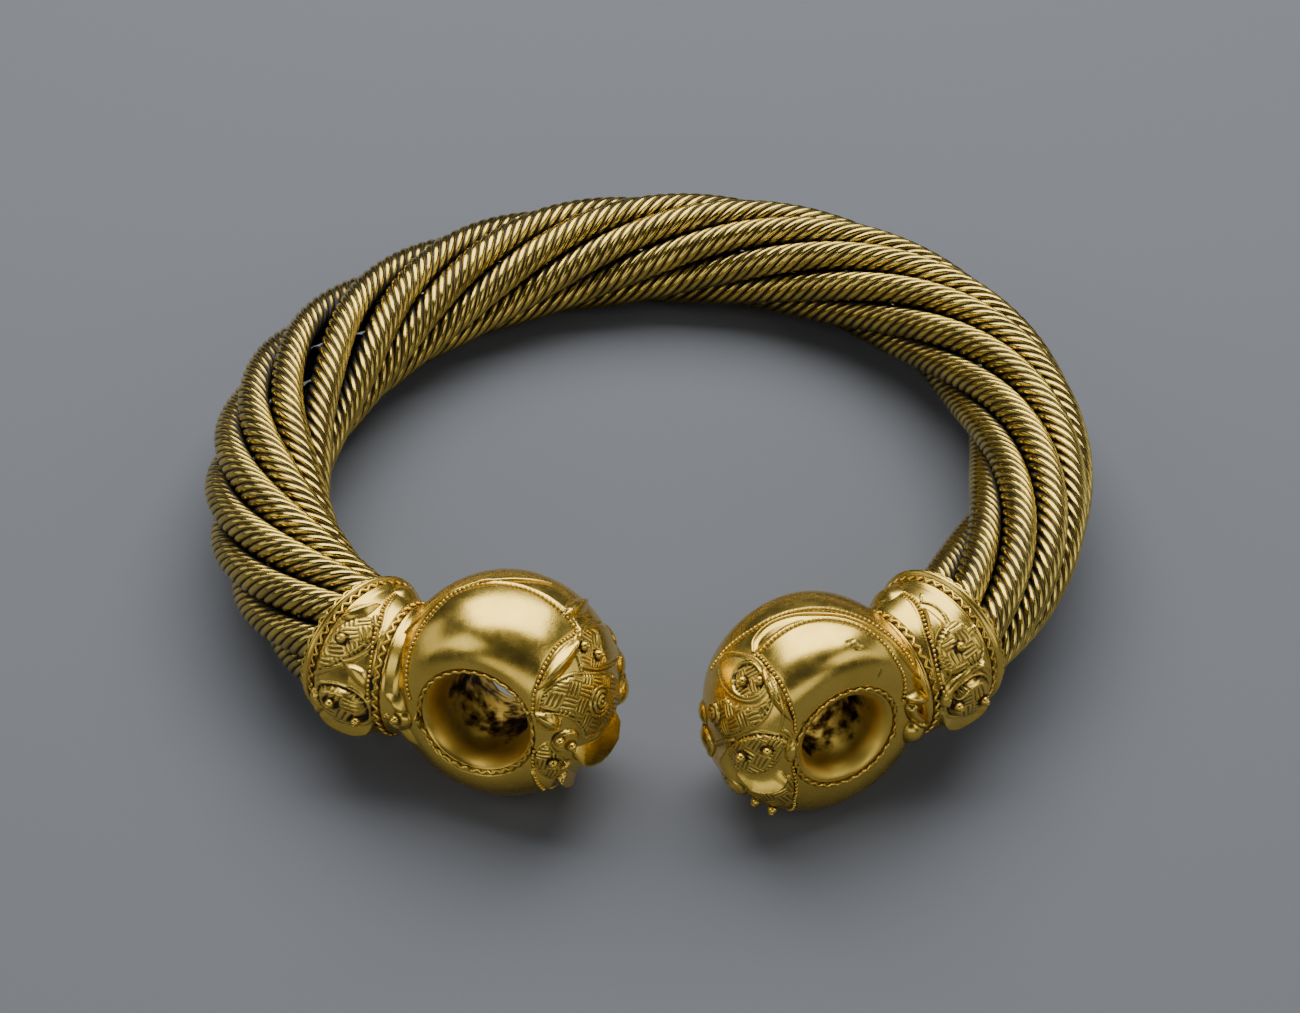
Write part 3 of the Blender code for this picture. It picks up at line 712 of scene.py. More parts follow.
def relieve_right_ring(sheet):
    """The right ring's own relief, from its crown to the gap and then beside the collar."""
    # The smooth crescent between the soldered wire and the beads.
    plate(sheet, ((3, 1), (15, -3), (28, -3), (37, -4), (33, -13), (22, -16), (11, -10)), -0.3, 0.9)
    # The curved sliver beside the crown.
    almond(sheet, (45, 42), 6.4, 1.1, 1.4, 22)
    # The tear-shaped shield: a smooth trumpet below and a cell of two pellets above.
    shield = ((39.5, 22), (38.5, 10), (39.5, -1), (42, -12), (46, -24), (50, -32), (54, -35), (57.5, -31),
              (60, -22), (62, -10), (62, 4), (60, 17), (56, 28), (50, 33), (43, 31))
    plate(sheet, shield, 0.7, 1.1)
    cell = ((42, 24), (41, 12), (42.5, 2), (47, -4), (53, -4), (57, 2), (58.5, 12), (56.5, 23), (51, 30),
            (45, 30))
    plate(sheet, cell, -0.4, 0.6)
    hatched(sheet, cell, (50, 12), 30)
    ridge(sheet, cell, 0.24, 0.3, True)
    ridge(sheet, shield, 0.3, 0.48, True)
    ridge(sheet, ((39, 30), (42, 42), (48, 54), (56, 62), (63, 64)), 0.25, 0.35)
    # The big leaf of basket punching, and the coil beyond it.
    leaf = ((45, 39), (51, 45), (59, 46), (67, 41), (75, 31), (82, 19), (86, 4), (84, -6), (78, -10),
            (70, -8), (65, -2), (64.5, 8), (62, 21), (57, 33), (50, 38))
    plate(sheet, leaf, 0.55, 0.7)
    hatched(sheet, leaf, (68, 20), 40)
    ridge(sheet, leaf[:8], 0.25, 0.36)
    coiled(sheet, (77.5, -7), 2.6, 0.9, 0.9)
    # The second cell of two pellets, with a cup in front of it and a crescent beside it.
    second = ((69, 80), (66.5, 66), (68, 50), (73, 38), (80, 27), (88, 19), (95, 20), (99.5, 36),
              (98, 55), (93, 69), (83, 78))
    plate(sheet, second, 1.1, 1.0)
    plate(sheet, second, -0.35, 0.35)
    hatched(sheet, second, (82, 50), 20)
    ridge(sheet, second[1:5], 0.24, 0.2)
    ridge(sheet, ((80, 77), (87, 73), (93, 66), (97, 55), (98.5, 42), (96, 31)), 0.28, 0.45)
    almond(sheet, (82, 86), 2.8, 1.3, 1.5, 90)
    ridge(sheet, ((66.5, 81), (63.5, 75), (62, 68)), 0.4, 0.5)
    trumpet(sheet, ((97, 72), (101, 58), (101, 42), (97, 28)),
            ((105, 79), (112, 68), (111, 48), (103, 29)), 2.4, 1.7, 0.3)
    # Matting beyond it, and the lip that runs back over the limb.
    matting = ((110, 80), (117, 70), (117, 50), (114, 34), (126, 26), (137, 38), (139, 56), (132, 72),
               (122, 82))
    plate(sheet, matting, 0.35, 0.7)
    hatched(sheet, matting, (125, 55), 5)
    ridge(sheet, matting, 0.24, 0.3, True)
    swell = ((88, 20), (95, 4), (102, -12), (112, -26), (124, -18), (131, 2), (131, 22), (120, 34),
             (107, 32), (99, 22))
    plate(sheet, swell, 1.5, 3.0)
    ridge(sheet, ((82, 24), (88, 12), (94, 1), (98, -6)), 0.36, 0.6)
    coiled(sheet, (116, 16), 3.2, 0.5)
    dome(sheet, (93, -38), 2.8, 2.4, 1.1, 0, 0.6)
    dome(sheet, (105, -24), 3.6, 3.0, 1.9, 0, 0.6)
    # Where the ring meets the collar: a keeled leaf, a curling trumpet and its boss.
    almond(sheet, (-80, 62), 3.8, 1.8, 2.2, 45)
    ridge(sheet, ((-83, 74), (-90, 71), (-97, 63), (-101, 53)), 1.05, 1.8)
    dome(sheet, (-108, 62), 2.9, 2.5, 2.2, 60, 0.6)
    # Two old nicks on the crown.
    ridge(sheet, ((-13, 47), (-10, 42), (-8, 38)), 0.3, -0.25)
    ridge(sheet, ((-30, 76), (-30, 68)), 0.35, -0.2)


def collar_sheet(spec):
    """A collar from its lip to where it ends inside the ring, flat, with no relief yet."""
    buried = collar_line(spec)[0][-1] - COLLAR_BURIED
    distance = graded((0.25, spec["neck"] + 1.0, 0.19), (spec["neck"] + 1.0, buried, 1.0))
    round_deg = graded((-50, 135, 0.85), (135, 310, 2.5))
    along, across = np.meshgrid(distance, round_deg, indexing="ij")
    radius = collar_radius(spec, along)
    return Sheet(along, across, np.ones_like(along), radius * math.radians(1), False)


def relieve_collar(spec, sheet):
    """What both collars share: the rib, the beds of the zigzag wires with a fine edge, and the
    channels of the beads with a fine line beside each row."""
    rib = np.abs(sheet.first - RIB_PLACE) / RIB_HALF_WIDTH
    sheet.height += RIB_HEIGHT * np.sqrt(np.clip(1 - rib ** 2, 0, None))
    for place in ZIGZAG_PLACES[spec["name"]]:
        aside = np.abs(sheet.first - place)
        sheet.height -= ZIGZAG_BED_DEPTH * soft_step((ZIGZAG_BED_HALF_WIDTH - aside) / 0.2)
        # Dirt and painted shade in the bed under the zigzag wire.
        sheet.dirt_and_shade += BED_DIRT_AND_SHADE * soft_step((ZIGZAG_BED_HALF_WIDTH + 0.08 - aside) / 0.2)
        edge = (sheet.first - place - ZIGZAG_EDGE_PLACE) / ZIGZAG_EDGE_HALF_WIDTH
        sheet.height += ZIGZAG_EDGE_HEIGHT * np.sqrt(np.clip(1 - edge ** 2, 0, None))
    dirt_and_shade_round(sheet, COLLAR_PELLETS[spec["name"]])
    for row in COLLAR_BEADS[spec["name"]]:
        channel(sheet, row)
        beside = [(distance + FINE_LINE_PLACE, place) for distance, place in row]
        ridge(sheet, beside, FINE_LINE_HALF_WIDTH, FINE_LINE_HEIGHT)


def relieve_left_collar(sheet):
    """The left collar's own relief, from its top to its front and then underneath."""
    # A keeled leaf, a hatched leaf beside it, and a lens.
    almond(sheet, (5.4, 77), 4.3, 1.5, 1.3, 30)
    leaf = ((3.2, 18), (3.2, 40), (3.9, 60), (6.2, 73), (8.6, 76), (9.8, 66), (9.6, 53), (8.0, 42),
            (6.6, 34), (4.8, 25))
    plate(sheet, leaf, 0.7, 0.7)
    hatched(sheet, leaf, (6, 50), 60)
    ridge(sheet, ((8.6, 79), (10.2, 68), (10.3, 55), (8.9, 44), (7.2, 37)), 0.4, 0.5)
    ridge(sheet, ((3.0, 15), (4.8, 25), (6.8, 34)), 0.3, 0.4)
    lens = ((7.2, 35), (8.6, 38), (10.6, 36), (11.7, 28), (11.3, 19), (9.4, 24))
    plate(sheet, lens, 0.9, 1.0)
    # The round drum of two pellets, the cup below it, and two plain bosses underneath.
    drum = ((3.6, 7), (5.5, 16), (8.6, 18), (11.0, 10), (11.6, -4), (10.4, -17), (6.6, -19), (4.2, -8))
    plate(sheet, drum, 1.9, 1.6)
    plate(sheet, drum, -0.35, 0.4)
    hatched(sheet, drum, (7.6, 2), 20)
    ridge(sheet, drum, 0.3, 0.4, True)
    trumpet(sheet, ((11.6, -6), (10.2, -17), (6.8, -19), (4.2, -8)),
            ((12.2, -8), (11.0, -26), (7.2, -34), (4.0, -26), (3.4, -9)), 2.1, 1.4, 0.35)
    almond(sheet, (3.3, -8), 3.2, 1.5, 1.6)
    dome(sheet, (7.5, 132), 4.8, 3.6, 1.0, 0, 0.8)
    dome(sheet, (7.0, 235), 9.0, 3.8, 1.6, 0, 0.8)


def relieve_right_collar(sheet):
    """The right collar's own relief, from its top to its front and then underneath."""
    # Thin curls on top, a lens, and the roundel with its one pellet.
    ridge(sheet, ((8.4, 91), (7.4, 96), (6.6, 98)), 0.2, 0.25)
    ridge(sheet, ((8.4, 91), (7.4, 84), (7.2, 74), (7.8, 64)), 0.26, 0.4)
    lens = ((9.2, 87), (10.8, 77), (12.4, 64), (13.3, 50), (13.3, 42), (12.2, 53), (10.4, 60), (8.6, 64),
            (8.6, 76))
    plate(sheet, lens, 0.8, 0.8)
    roundel = ((4.0, 44), (4.6, 56), (6.4, 64), (9.0, 64), (11.6, 58), (13.2, 47), (13.3, 35), (12.0, 27),
               (9.0, 26), (6.2, 27), (4.4, 34))
    plate(sheet, roundel, 0.9, 1.0)
    hatched(sheet, roundel, (8.8, 45), 3)
    ridge(sheet, ((4.0, 50), (4.2, 36), (5.4, 28), (6.9, 25)), 0.4, 0.55)
    # The fat curl, the cell of two pellets below it, its cup, and two plain bosses underneath.
    ridge(sheet, ((6.2, 25), (8.6, 25), (11.2, 22), (13.2, 15), (13.9, 6)), 0.95, 1.3)
    ridge(sheet, ((6.8, 26), (5.4, 18), (4.2, 9)), 0.32, 0.45)
    cell = ((4.6, 6), (6.6, 17), (9.6, 18), (12.8, 11), (13.6, 0), (12.2, -14), (8.0, -20), (5.2, -10))
    plate(sheet, cell, 1.9, 1.6)
    plate(sheet, cell, -0.35, 0.4)
    hatched(sheet, cell, (9, 0), 8)
    ridge(sheet, cell, 0.3, 0.4, True)
    trumpet(sheet, ((13.6, -3), (12.0, -14), (8.0, -20), (5.2, -9)),
            ((14.2, -7), (13.0, -26), (8.8, -35), (5.0, -27), (4.4, -10)), 2.1, 1.4, 0.35)
    dome(sheet, (9.0, 132), 4.8, 3.6, 1.0, 0, 0.8)
    dome(sheet, (8.5, 235), 9.0, 3.8, 1.6, 0, 0.8)


# ---------------------------------------------------------------- the castings

LIP_WAVES = ((0.16, 31, 1), (0.14, 19, 0), (0.1, 53, 2))     # size, waves round the lip, start
LIP_DIRT = 0.45
DARK_HOLLOW_DEPTH = 0.16                 # a hollow as deep as this is fully dark


def settled_dirt_and_shade(height, rounds=5):
    """Dirt and painted shade where the relief is lower than what is round it: 0 clean, 1 dark."""
    around = height
    for _ in range(rounds):
        around = (around + sum(np.roll(around, step, axis) for axis in (0, 1) for step in (-1, 1))) / 5
    return np.clip((around - height) / DARK_HOLLOW_DEPTH, 0, 1)


def wrapped_faces(rows, columns, closed_rows):
    """The faces of a grid that closes on itself across, and along as well if asked."""
    count = rows if closed_rows else rows - 1
    one = np.arange(count)[:, None] * columns + np.arange(columns)[None, :]
    right = np.arange(count)[:, None] * columns + (np.arange(columns)[None, :] + 1) % columns
    below, below_right = (one + columns) % (rows * columns), (right + columns) % (rows * columns)
    return np.stack([one, right, below_right, below], -1).reshape(-1, 4)


def outward(piece):
    """Turns a closed mesh's faces outwards."""
    work = bmesh.new()
    work.from_mesh(piece.data)
    bmesh.ops.recalc_face_normals(work, faces=work.faces)
    work.to_mesh(piece.data)
    work.free()
    piece.data.shade_smooth()


def cast_ring(spec, sheet, material):
    """The whole ring with its relief, its hole and what has settled on it, with painted shade in its hollows
    and deep in its hole.
    """
    points, _ = ring_point(spec, sheet.first, sheet.second, sheet.height)
    faces = wrapped_faces(*sheet.first.shape, True).tolist()
    piece = new_piece("ring_" + spec["name"], points.reshape(-1, 3), faces)
    write_values(piece, "grime_and_shade", sheet.dirt_and_shade + settled_dirt_and_shade(sheet.height))
    # Soot and painted shade deep in the hole, darkest on one side.
    darkest_side = 0.85 + 0.35 * np.cos(np.radians(sheet.first - DARKEST_SIDE_DEG))
    write_values(piece, "soot_and_shade", in_hole(sheet, *SOOT_AND_SHADE) * darkest_side)
    write_values(piece, "unpolished", in_hole(sheet, *UNPOLISHED))
    piece.data.materials.append(material)
    outward(piece)
    return piece


def cast_collar(spec, sheet, material):
    """The collar's outside, with a ragged lip turned in over the ropes and a closed floor in the socket."""
    rows, columns = sheet.first.shape
    angle = sheet.second[0]
    ragged = sum(size * np.sin(np.radians(angle) * waves + start) for size, waves, start in LIP_WAVES)
    edge = collar_radius(spec, 0.0)
    lip = ((SOCKET_DEPTH - 0.05, SOCKET_RADIUS), (0.35, SOCKET_RADIUS - 0.25 + 0.4 * ragged),
           (ragged - 0.22, SOCKET_RADIUS), (ragged - 0.3, edge - 0.2), (0.6 * ragged - 0.05, edge + 0.12))
    rings = [collar_point(spec, distance, angle, radius)[0] for distance, radius in lip]
    body, _ = collar_point(spec, sheet.first, sheet.second, collar_radius(spec, sheet.first) + sheet.height)
    middles = [collar_point(spec, place, 0.0, 0.0)[0] for place in (SOCKET_DEPTH, sheet.first[-1, 0])]
    points = np.concatenate([np.array(rings), body]).reshape(-1, 3)
    total = rows + len(lip)
    faces = wrapped_faces(total, columns, False).tolist()
    for middle, start in enumerate((0, (total - 1) * columns)):
        hub = total * columns + middle
        faces += [(start + i, start + (i + 1) % columns, hub) for i in range(columns)]
    piece = new_piece("collar_" + spec["name"], np.vstack([points, middles]), faces)
    dirt_and_shade = np.concatenate([np.full((len(lip), columns), LIP_DIRT), sheet.dirt_and_shade + settled_dirt_and_shade(sheet.height)])
    write_values(piece, "grime_and_shade", np.concatenate([dirt_and_shade.ravel(), [1.0, 0.0]]))
    piece.data.materials.append(material)
    outward(piece)
    return piece


# ---------------------------------------------------------------- soldered and punched details

def row_of_beads_tree(material):
    """Beads at an even spacing along a line, no two quite the same."""
    tree, given = new_tree("row_of_beads", ("Spacing", "Bead radius"))
    line = add(tree, "GeometryNodeMeshToCurve", {"Mesh": given["Geometry"]})
    line = add(tree, "GeometryNodeResampleCurve", {"Curve": line, "Length": given["Spacing"]}, mode="LENGTH")
    bead = add(tree, "GeometryNodeMeshIcoSphere", {"Radius": given["Bead radius"], "Subdivisions": 2})
    small, large = ((size,) * 3 for size in BEAD_SIZES)
    uneven = add(tree, "FunctionNodeRandomValue", {"Min": small, "Max": large, "Seed": BEAD_SEED},
                 data_type="FLOAT_VECTOR")
    beads = add(tree, "GeometryNodeInstanceOnPoints", {"Points": line, "Instance": bead, "Scale": uneven})
    return finished_tree(tree, beads, material)


def soldered_wire_tree(material):
    """A round wire along a line."""
    tree, given = new_tree("soldered_wire", ("Wire radius",))
    line = add(tree, "GeometryNodeMeshToCurve", {"Mesh": given["Geometry"]})
    section = add(tree, "GeometryNodeCurvePrimitiveCircle",
                  {"Resolution": 8, "Radius": given["Wire radius"]})
    wire = add(tree, "GeometryNodeCurveToMesh", {"Curve": line, "Profile Curve": section, "Fill Caps": True})
    return finished_tree(tree, wire, material)


def pellet_tree(material):
    """A pellet with a ring punched in its top on each point, upright on the surface there."""
    tree, given = new_tree("ringed_pellet", ("Pellet radius",))
    size = given["Pellet radius"]
    ball = add(tree, "GeometryNodeMeshUVSphere", {"Segments": 20, "Rings": 12, "Radius": size})
    ring_radius, rim_radius, lift = [add(tree, "ShaderNodeMath", {0: size, 1: share}, operation="MULTIPLY")
                                     for share in PELLET_RING]
    ring = add(tree, "GeometryNodeCurvePrimitiveCircle", {"Resolution": 16, "Radius": ring_radius})
    rim = add(tree, "GeometryNodeCurvePrimitiveCircle", {"Resolution": 6, "Radius": rim_radius})
    ring = add(tree, "GeometryNodeCurveToMesh", {"Curve": ring, "Profile Curve": rim})
    upward = add(tree, "ShaderNodeCombineXYZ", {"Z": lift})
    ring = add(tree, "GeometryNodeTransform", {"Geometry": ring, "Translation": upward})
    pellet = add(tree, "GeometryNodeJoinGeometry", {0: ball})
    tree.links.new(ring, pellet.node.inputs[0])
    stand = add(tree, "GeometryNodeInputNamedAttribute", {"Name": "stand"}, data_type="FLOAT_VECTOR")
    turn = add(tree, "FunctionNodeAlignRotationToVector", {"Vector": stand}, axis="Z")
    pellets = add(tree, "GeometryNodeInstanceOnPoints",
                  {"Points": given["Geometry"], "Instance": pellet, "Rotation": turn})
    return finished_tree(tree, pellets, material)


def on_ring(spec, sheet, places, lift):
    """Points a lift above the ring's relief at some places, and the outward normals there."""
    places = np.asarray(places, float)
    base = np.array([sheet.height_at(place) for place in places])
    return ring_point(spec, places[:, 0], places[:, 1], base + lift)


def on_collar(spec, sheet, places, lift):
    """Points a lift above the collar's relief at some places, and the outward directions there."""
    places = np.asarray(places, float)
    base = np.array([sheet.height_at(place) for place in places])
    return collar_point(spec, places[:, 0], places[:, 1], collar_radius(spec, places[:, 0]) + base + lift)


def zigzag_round_hole(spec):
    """The line of the zigzag wire round the mouth of the hole."""
    waves = round(2 * math.pi * (spec["ring_radius"] - spec["tube"]) / ZIGZAG_PITCH)
    round_deg = np.linspace(0, 360, waves * ZIGZAG_STEPS, endpoint=False)
    degree_mm = math.radians(spec["tube"])
    swing_deg = ZIGZAG_SWING / degree_mm * np.sin(np.radians(round_deg) * waves)
    return ring_point(spec, round_deg, trim_section(spec, round_deg) + swing_deg, ZIGZAG_LIFT)[0]


def zigzag_round_collar(spec, place):
    """The line of a zigzag wire round the collar."""
    radius = collar_radius(spec, place)
    waves = round(2 * math.pi * radius / ZIGZAG_PITCH)
    round_deg = np.linspace(0, 360, waves * ZIGZAG_STEPS, endpoint=False)
    distance = place + ZIGZAG_SWING * np.sin(np.radians(round_deg) * waves)
    return collar_point(spec, distance, round_deg, radius + ZIGZAG_LIFT)[0]


def dress_terminal(spec, trees, ring, collar, material):
    """All the beads, wires and pellets of one terminal."""
    side, made = spec["name"], []
    rows = [on_ring(spec, ring, smooth_line(row), BEAD_LIFT)[0] for row in RING_BEADS[side]]
    rows += [on_collar(spec, collar, smooth_line(row), BEAD_LIFT)[0] for row in COLLAR_BEADS[side]]
    bead_sizes = {"Spacing": BEAD_SPACING * MM, "Bead radius": BEAD_RADIUS * MM}
    for row in rows:
        line = new_piece("line", row, [], line_edges(len(row)))
        made.append(grown(line, trees["beads"], bead_sizes))
    for row in RING_WIRES[side]:
        points = on_ring(spec, ring, smooth_line(row), BEAD_LIFT)[0]
        line = new_piece("line", points, [], line_edges(len(points)))
        made.append(grown(line, trees["wire"], {"Wire radius": ROUND_WIRE_RADIUS * MM}))
    zigzags = [zigzag_round_hole(spec)] + [zigzag_round_collar(spec, place) for place in ZIGZAG_PLACES[side]]
    for points in zigzags:
        line = new_piece("line", points, [], line_edges(len(points), True))
        made.append(grown(line, trees["wire"], {"Wire radius": ZIGZAG_RADIUS * MM}))
    pellets = (on_ring(spec, ring, RING_PELLETS[side], PELLET_LIFT),
               on_collar(spec, collar, COLLAR_PELLETS[side], COLLAR_PELLET_LIFT))
    points, normals = (np.vstack(pair) for pair in zip(*pellets))
    studs = new_piece("line", points, [])
    stand = studs.data.attributes.new("stand", "FLOAT_VECTOR", "POINT")
    turn = np.array(STANCE.to_3x3())
    stand.data.foreach_set("vector", (normals @ turn.T).astype(np.float32).ravel())
    made.append(grown(studs, trees["pellets"], {"Pellet radius": PELLET_RADIUS * MM}))
    return joined("beads_and_wires_" + side, made, material)


# ---------------------------------------------------------------- finishes

# What each noise is like: the width of its lumps in millimetres, its detail, how it is stretched
# along each axis, and its turn in radians. The pits and hairs are drawn coarser than real ones,
# which are too fine to show.
EVEN, LONG, STRAIGHT = (1.0, 1.0, 1.0), (1.0, 0.06, 1.0), (0.0, 0.0, 0.0)
GOLD_NOISES = {"alloy": (9.0, 3.0, EVEN, STRAIGHT), "dirt_and_shade": (1.1, 4.0, EVEN, STRAIGHT),
               "handling": (2.4, 4.0, EVEN, STRAIGHT)}
CAST_NOISES = {"soot_and_shade": (3.0, 4.0, EVEN, STRAIGHT), "dents": (4.5, 2.0, EVEN, STRAIGHT),
               "pits": (0.55, 3.0, EVEN, STRAIGHT), "pitted": (6.0, 2.0, EVEN, STRAIGHT),
               "hairs": (0.35, 2.0, LONG, (0.3, 0.2, 0.5)), "more hairs": (0.35, 2.0, LONG, (1.1, 0.7, 2.0))}
WIRE_NOISES = {"hammering": (0.6, 4.0, EVEN, STRAIGHT)}
# In a Map Range node inputs 1 and 2 are the limits of the value and 3 and 4 what they become, 0 and 1
# if not given. In a Mix node of colours input 0 is the share of the second, and 6 and 7 are the two.
COLOUR_MIX = {"output": 2, "data_type": "RGBA", "clamp_factor": True}


def gold_material(name, bright, deep, dirt_and_shade, polish, worn, noises):
    """What every gold surface shares: two tones of alloy, brown dirt and painted shade where the mesh's
    attribute says, and a shine that dulls with handling and with dirt. Returns the material with its
    tree, shader and noises, and the sockets of its colour and roughness."""
    material = bpy.data.materials.new(name)
    material.use_nodes = True
    tree = material.node_tree
    shader = tree.nodes["Principled BSDF"]
    place = add(tree, "ShaderNodeTexCoord", output="Object")
    noise = {}
    for kind, (size_mm, detail, stretch, turn) in {**GOLD_NOISES, **noises}.items():
        laid = add(tree, "ShaderNodeMapping", {"Vector": place, "Scale": stretch, "Rotation": turn})
        noise[kind] = add(tree, "ShaderNodeTexNoise",
                          {"Vector": laid, "Scale": 1 / (size_mm * MM), "Detail": detail})
    share = add(tree, "ShaderNodeMapRange", {0: noise["alloy"], 1: 0.35, 2: 0.68})
    colour = add(tree, "ShaderNodeMix", {0: share, 6: linear(bright), 7: linear(deep)}, **COLOUR_MIX)
    grime_and_shade = add(tree, "ShaderNodeAttribute", output="Fac", attribute_name="grime_and_shade")
    ragged = add(tree, "ShaderNodeMapRange", {0: noise["dirt_and_shade"], 1: 0.3, 2: 0.7, 3: -0.13, 4: 0.13})
    soil_and_shade_share = add(tree, "ShaderNodeMath", {0: grime_and_shade, 1: ragged}, operation="ADD")
    soil_and_shade_share = add(tree, "ShaderNodeMapRange", {0: soil_and_shade_share, 1: 0.3, 2: 1.15})
    colour = add(tree, "ShaderNodeMix", {0: soil_and_shade_share, 6: colour, 7: linear(dirt_and_shade)}, **COLOUR_MIX)
    rubbed = add(tree, "ShaderNodeMapRange", {0: noise["handling"], 1: 0.35, 2: 0.7, 3: polish, 4: worn})
    rough = add(tree, "ShaderNodeMath", {0: soil_and_shade_share, 1: 0.35, 2: rubbed}, operation="MULTIPLY_ADD")
    bare = add(tree, "ShaderNodeMapRange", {0: soil_and_shade_share, 1: 0.5, 2: 1.0, 3: 1.0, 4: 0.3})
    tree.links.new(bare, shader.inputs["Metallic"])
    return material, tree, shader, noise, colour, rough


def cast_gold():
    """Lost-wax cast gold alloyed with silver and copper, then burnished. That gives a bright, slightly
    greenish yellow with soft dents, a few casting pits and hair scratches, brown soil and painted shade
    in the punched work, and tarnish, soot and painted shade deep in the holes, which were never polished."""
    # The third colour is the brown of soil and painted shade.
    material, tree, shader, noise, colour, rough = gold_material(
        "cast_gold_burnished", "#EECB60", "#DFBC54", "#241B0C", 0.23, 0.3, CAST_NOISES)
    soot_and_shade = add(tree, "ShaderNodeAttribute", output="Fac", attribute_name="soot_and_shade")
    drift = add(tree, "ShaderNodeMapRange", {0: noise["soot_and_shade"], 1: 0.3, 2: 0.7, 3: -0.28, 4: 0.28})
    soot_and_shade_mask = add(tree, "ShaderNodeMath", {0: soot_and_shade, 1: drift}, operation="ADD")
    tarnish = add(tree, "ShaderNodeMapRange", {0: soot_and_shade_mask, 1: 0.3, 2: 0.65})
    colour = add(tree, "ShaderNodeMix", {0: tarnish, 6: colour, 7: linear("#6A4A20")}, **COLOUR_MIX)
    # Near black deep in the hole: soot and painted shade.
    black = add(tree, "ShaderNodeMapRange", {0: soot_and_shade_mask, 1: 0.45, 2: 0.8})
    colour = add(tree, "ShaderNodeMix", {0: black, 6: colour, 7: linear("#060403")}, **COLOUR_MIX)
    rough = add(tree, "ShaderNodeMath", {0: tarnish, 1: 0.3, 2: rough}, operation="MULTIPLY_ADD")
    unpolished = add(tree, "ShaderNodeAttribute", output="Fac", attribute_name="unpolished")
    rough = add(tree, "ShaderNodeMath", {0: unpolished, 1: 0.2, 2: rough}, operation="MULTIPLY_ADD")
    tree.links.new(colour, shader.inputs["Base Color"])
    tree.links.new(rough, shader.inputs["Roughness"])
    normal = add(tree, "ShaderNodeBump", {"Height": noise["dents"], "Strength": 0.08, "Distance": 0.35 * MM})
    pits = add(tree, "ShaderNodeMapRange", {0: noise["pits"], 1: 0.6, 2: 0.74})
    pitted = add(tree, "ShaderNodeMapRange", {0: noise["pitted"], 1: 0.52, 2: 0.66})
    pits = add(tree, "ShaderNodeMath", {0: pits, 1: pitted}, operation="MULTIPLY")
    normal = add(tree, "ShaderNodeBump", {"Height": pits, "Strength": 0.14, "Distance": 0.1 * MM,
                                          "Normal": normal}, invert=True)
    for kind in ("hairs", "more hairs"):
        hairs = add(tree, "ShaderNodeMapRange", {0: noise[kind], 1: 0.58, 2: 0.66})
        normal = add(tree, "ShaderNodeBump", {"Height": hairs, "Strength": 0.06, "Distance": 0.05 * MM,
                                              "Normal": normal}, invert=True)
    tree.links.new(normal, shader.inputs["Normal"])
    return material


def laid_wire_gold():
    """Hammered and drawn gold wire with a little more silver and copper: browner than the castings
    and sharper in its shine, because drawing leaves it smooth, with soil and painted shade between the
    wires."""
    # The third colour is the near black of soil and painted shade between the wires.
    material, tree, shader, noise, colour, rough = gold_material(
        "drawn_gold_wire", "#E6C862", "#B79E50", "#0D0B07", 0.15, 0.22, WIRE_NOISES)
    tree.links.new(colour, shader.inputs["Base Color"])
    tree.links.new(rough, shader.inputs["Roughness"])
    normal = add(tree, "ShaderNodeBump",
                 {"Height": noise["hammering"], "Strength": 0.3, "Distance": 0.08 * MM})
    tree.links.new(normal, shader.inputs["Normal"])
    return material


def matt_backdrop():
    """Plain grey backdrop paper, matt all over."""
    material = bpy.data.materials.new("backdrop_paper")
    material.use_nodes = True
    shader = material.node_tree.nodes["Principled BSDF"]
    shader.inputs["Base Color"].default_value = linear("#6C6F74")
    shader.inputs["Roughness"].default_value = 0.9
    return material


# ---------------------------------------------------------------- floor, light and camera

CAMERA_DISTANCE, CAMERA_HEIGHT_DEG, CAMERA_ROLL_DEG = 582.5, 38.56, 0.51    # from the hoop's middle
CAMERA_ASIDE, CAMERA_BELOW = -0.911, -10.68
LENS_MM = 72.0
FLOOR_HALF = 3.0                   # metres, as are the places and sizes of the lights
# Name, place, width and height, and power in watts. They all face the torc.
SOFT_BOXES = (("behind_above", (0.0, 0.47, 0.95), (1.35, 1.0), 20),
              ("front_low", (0.0, -1.5, 0.45), (2.2, 0.6), 4.4),
              ("left_front", (-0.95, -0.5, 0.8), (0.6, 0.6), 1.8),
              ("right_front", (0.95, -0.5, 0.8), (0.6, 0.6), 1.8),
              ("left_side", (-1.3, 0.15, 0.4), (1.2, 0.5), 1.5),
              ("right_side", (1.3, 0.15, 0.4), (1.2, 0.5), 1.5))


def lay_floor():
    """The plain floor that the torc lies on."""
    corners = [(x * FLOOR_HALF, y * FLOOR_HALF, 0) for x, y in ((-1, -1), (1, -1), (1, 1), (-1, 1))]
    mesh = bpy.data.meshes.new("floor")
    mesh.from_pydata(corners, [], [(0, 1, 2, 3)])
    mesh.materials.append(matt_backdrop())
    floor = bpy.data.objects.new("floor", mesh)
    bpy.context.collection.objects.link(floor)


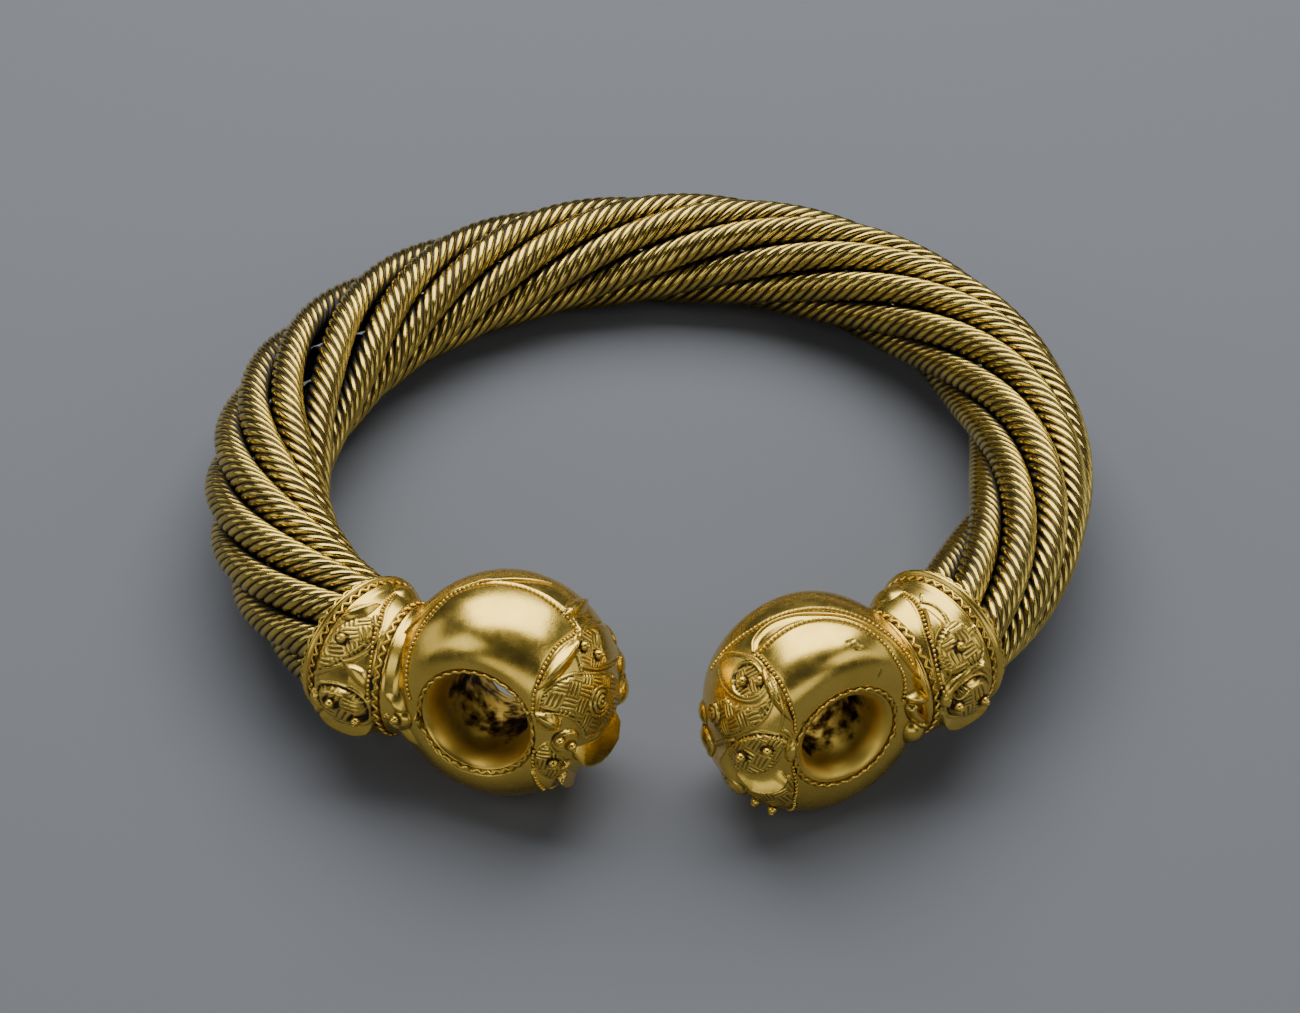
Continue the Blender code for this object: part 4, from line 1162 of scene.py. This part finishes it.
def light_scene():
    """Soft boxes over and round the torc, and a dim bluish room."""
    world = bpy.data.worlds.new("studio")
    bpy.context.scene.world = world
    world.use_nodes = True
    world.node_tree.nodes["Background"].inputs["Color"].default_value = linear("#AEB8D2")
    world.node_tree.nodes["Background"].inputs["Strength"].default_value = 0.09
    for name, place, size, power in SOFT_BOXES:
        light = bpy.data.lights.new(name, "AREA")
        light.shape = "RECTANGLE"
        light.size, light.size_y = size
        light.energy = power
        holder = bpy.data.objects.new(name, light)
        holder.location = place
        holder.rotation_euler = (-Vector(place)).to_track_quat("-Z", "Y").to_euler()
        bpy.context.collection.objects.link(holder)


def place_camera():
    """A camera in front of the torc and above it, worked out in the hoop's frame and laid down with it."""
    lift, roll = math.radians(CAMERA_HEIGHT_DEG), math.radians(CAMERA_ROLL_DEG)
    back = Vector((0, -math.cos(lift), math.sin(lift)))
    right = Vector((1, 0, 0))
    up = back.cross(right)
    right, up = (math.cos(roll) * right + math.sin(roll) * up, math.cos(roll) * up - math.sin(roll) * right)
    place = CAMERA_ASIDE * right + CAMERA_BELOW * up + CAMERA_DISTANCE * back
    pose = Matrix((right, up, back)).transposed().to_4x4()
    pose.translation = place
    pose = STANCE @ pose
    pose.translation *= MM
    lens = bpy.data.cameras.new("camera")
    lens.sensor_width, lens.lens = 36.0, LENS_MM
    lens.clip_start = 0.01
    camera = bpy.data.objects.new("camera", lens)
    camera.matrix_world = pose
    bpy.context.collection.objects.link(camera)
    bpy.context.scene.camera = camera


# ---------------------------------------------------------------- the whole torc

lay_floor()
light_scene()
place_camera()

wire_gold, casting_gold = laid_wire_gold(), cast_gold()
rope_tree = laid_rope_tree(wire_gold)
for number in range(1, ROPES + 1):
    rope = make_rope(number, rope_tree)
    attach(rope, "root")
    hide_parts("rope_%d" % number)

TREES = {"beads": row_of_beads_tree(casting_gold), "wire": soldered_wire_tree(casting_gold),
         "pellets": pellet_tree(casting_gold)}
for spec, relieve_this_ring, relieve_this_collar in ((LEFT, relieve_left_ring, relieve_left_collar),
                                                     (RIGHT, relieve_right_ring, relieve_right_collar)):
    ring, collar = ring_sheet(spec), collar_sheet(spec)
    relieve_this_ring(ring)
    relieve_ring(spec, ring)
    relieve_this_collar(collar)
    relieve_collar(spec, collar)
    pieces = (cast_ring(spec, ring, casting_gold), cast_collar(spec, collar, casting_gold),
              dress_terminal(spec, TREES, ring, collar, casting_gold))
    for piece in pieces:
        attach(piece, "root")
    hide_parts("terminal_" + spec["name"])
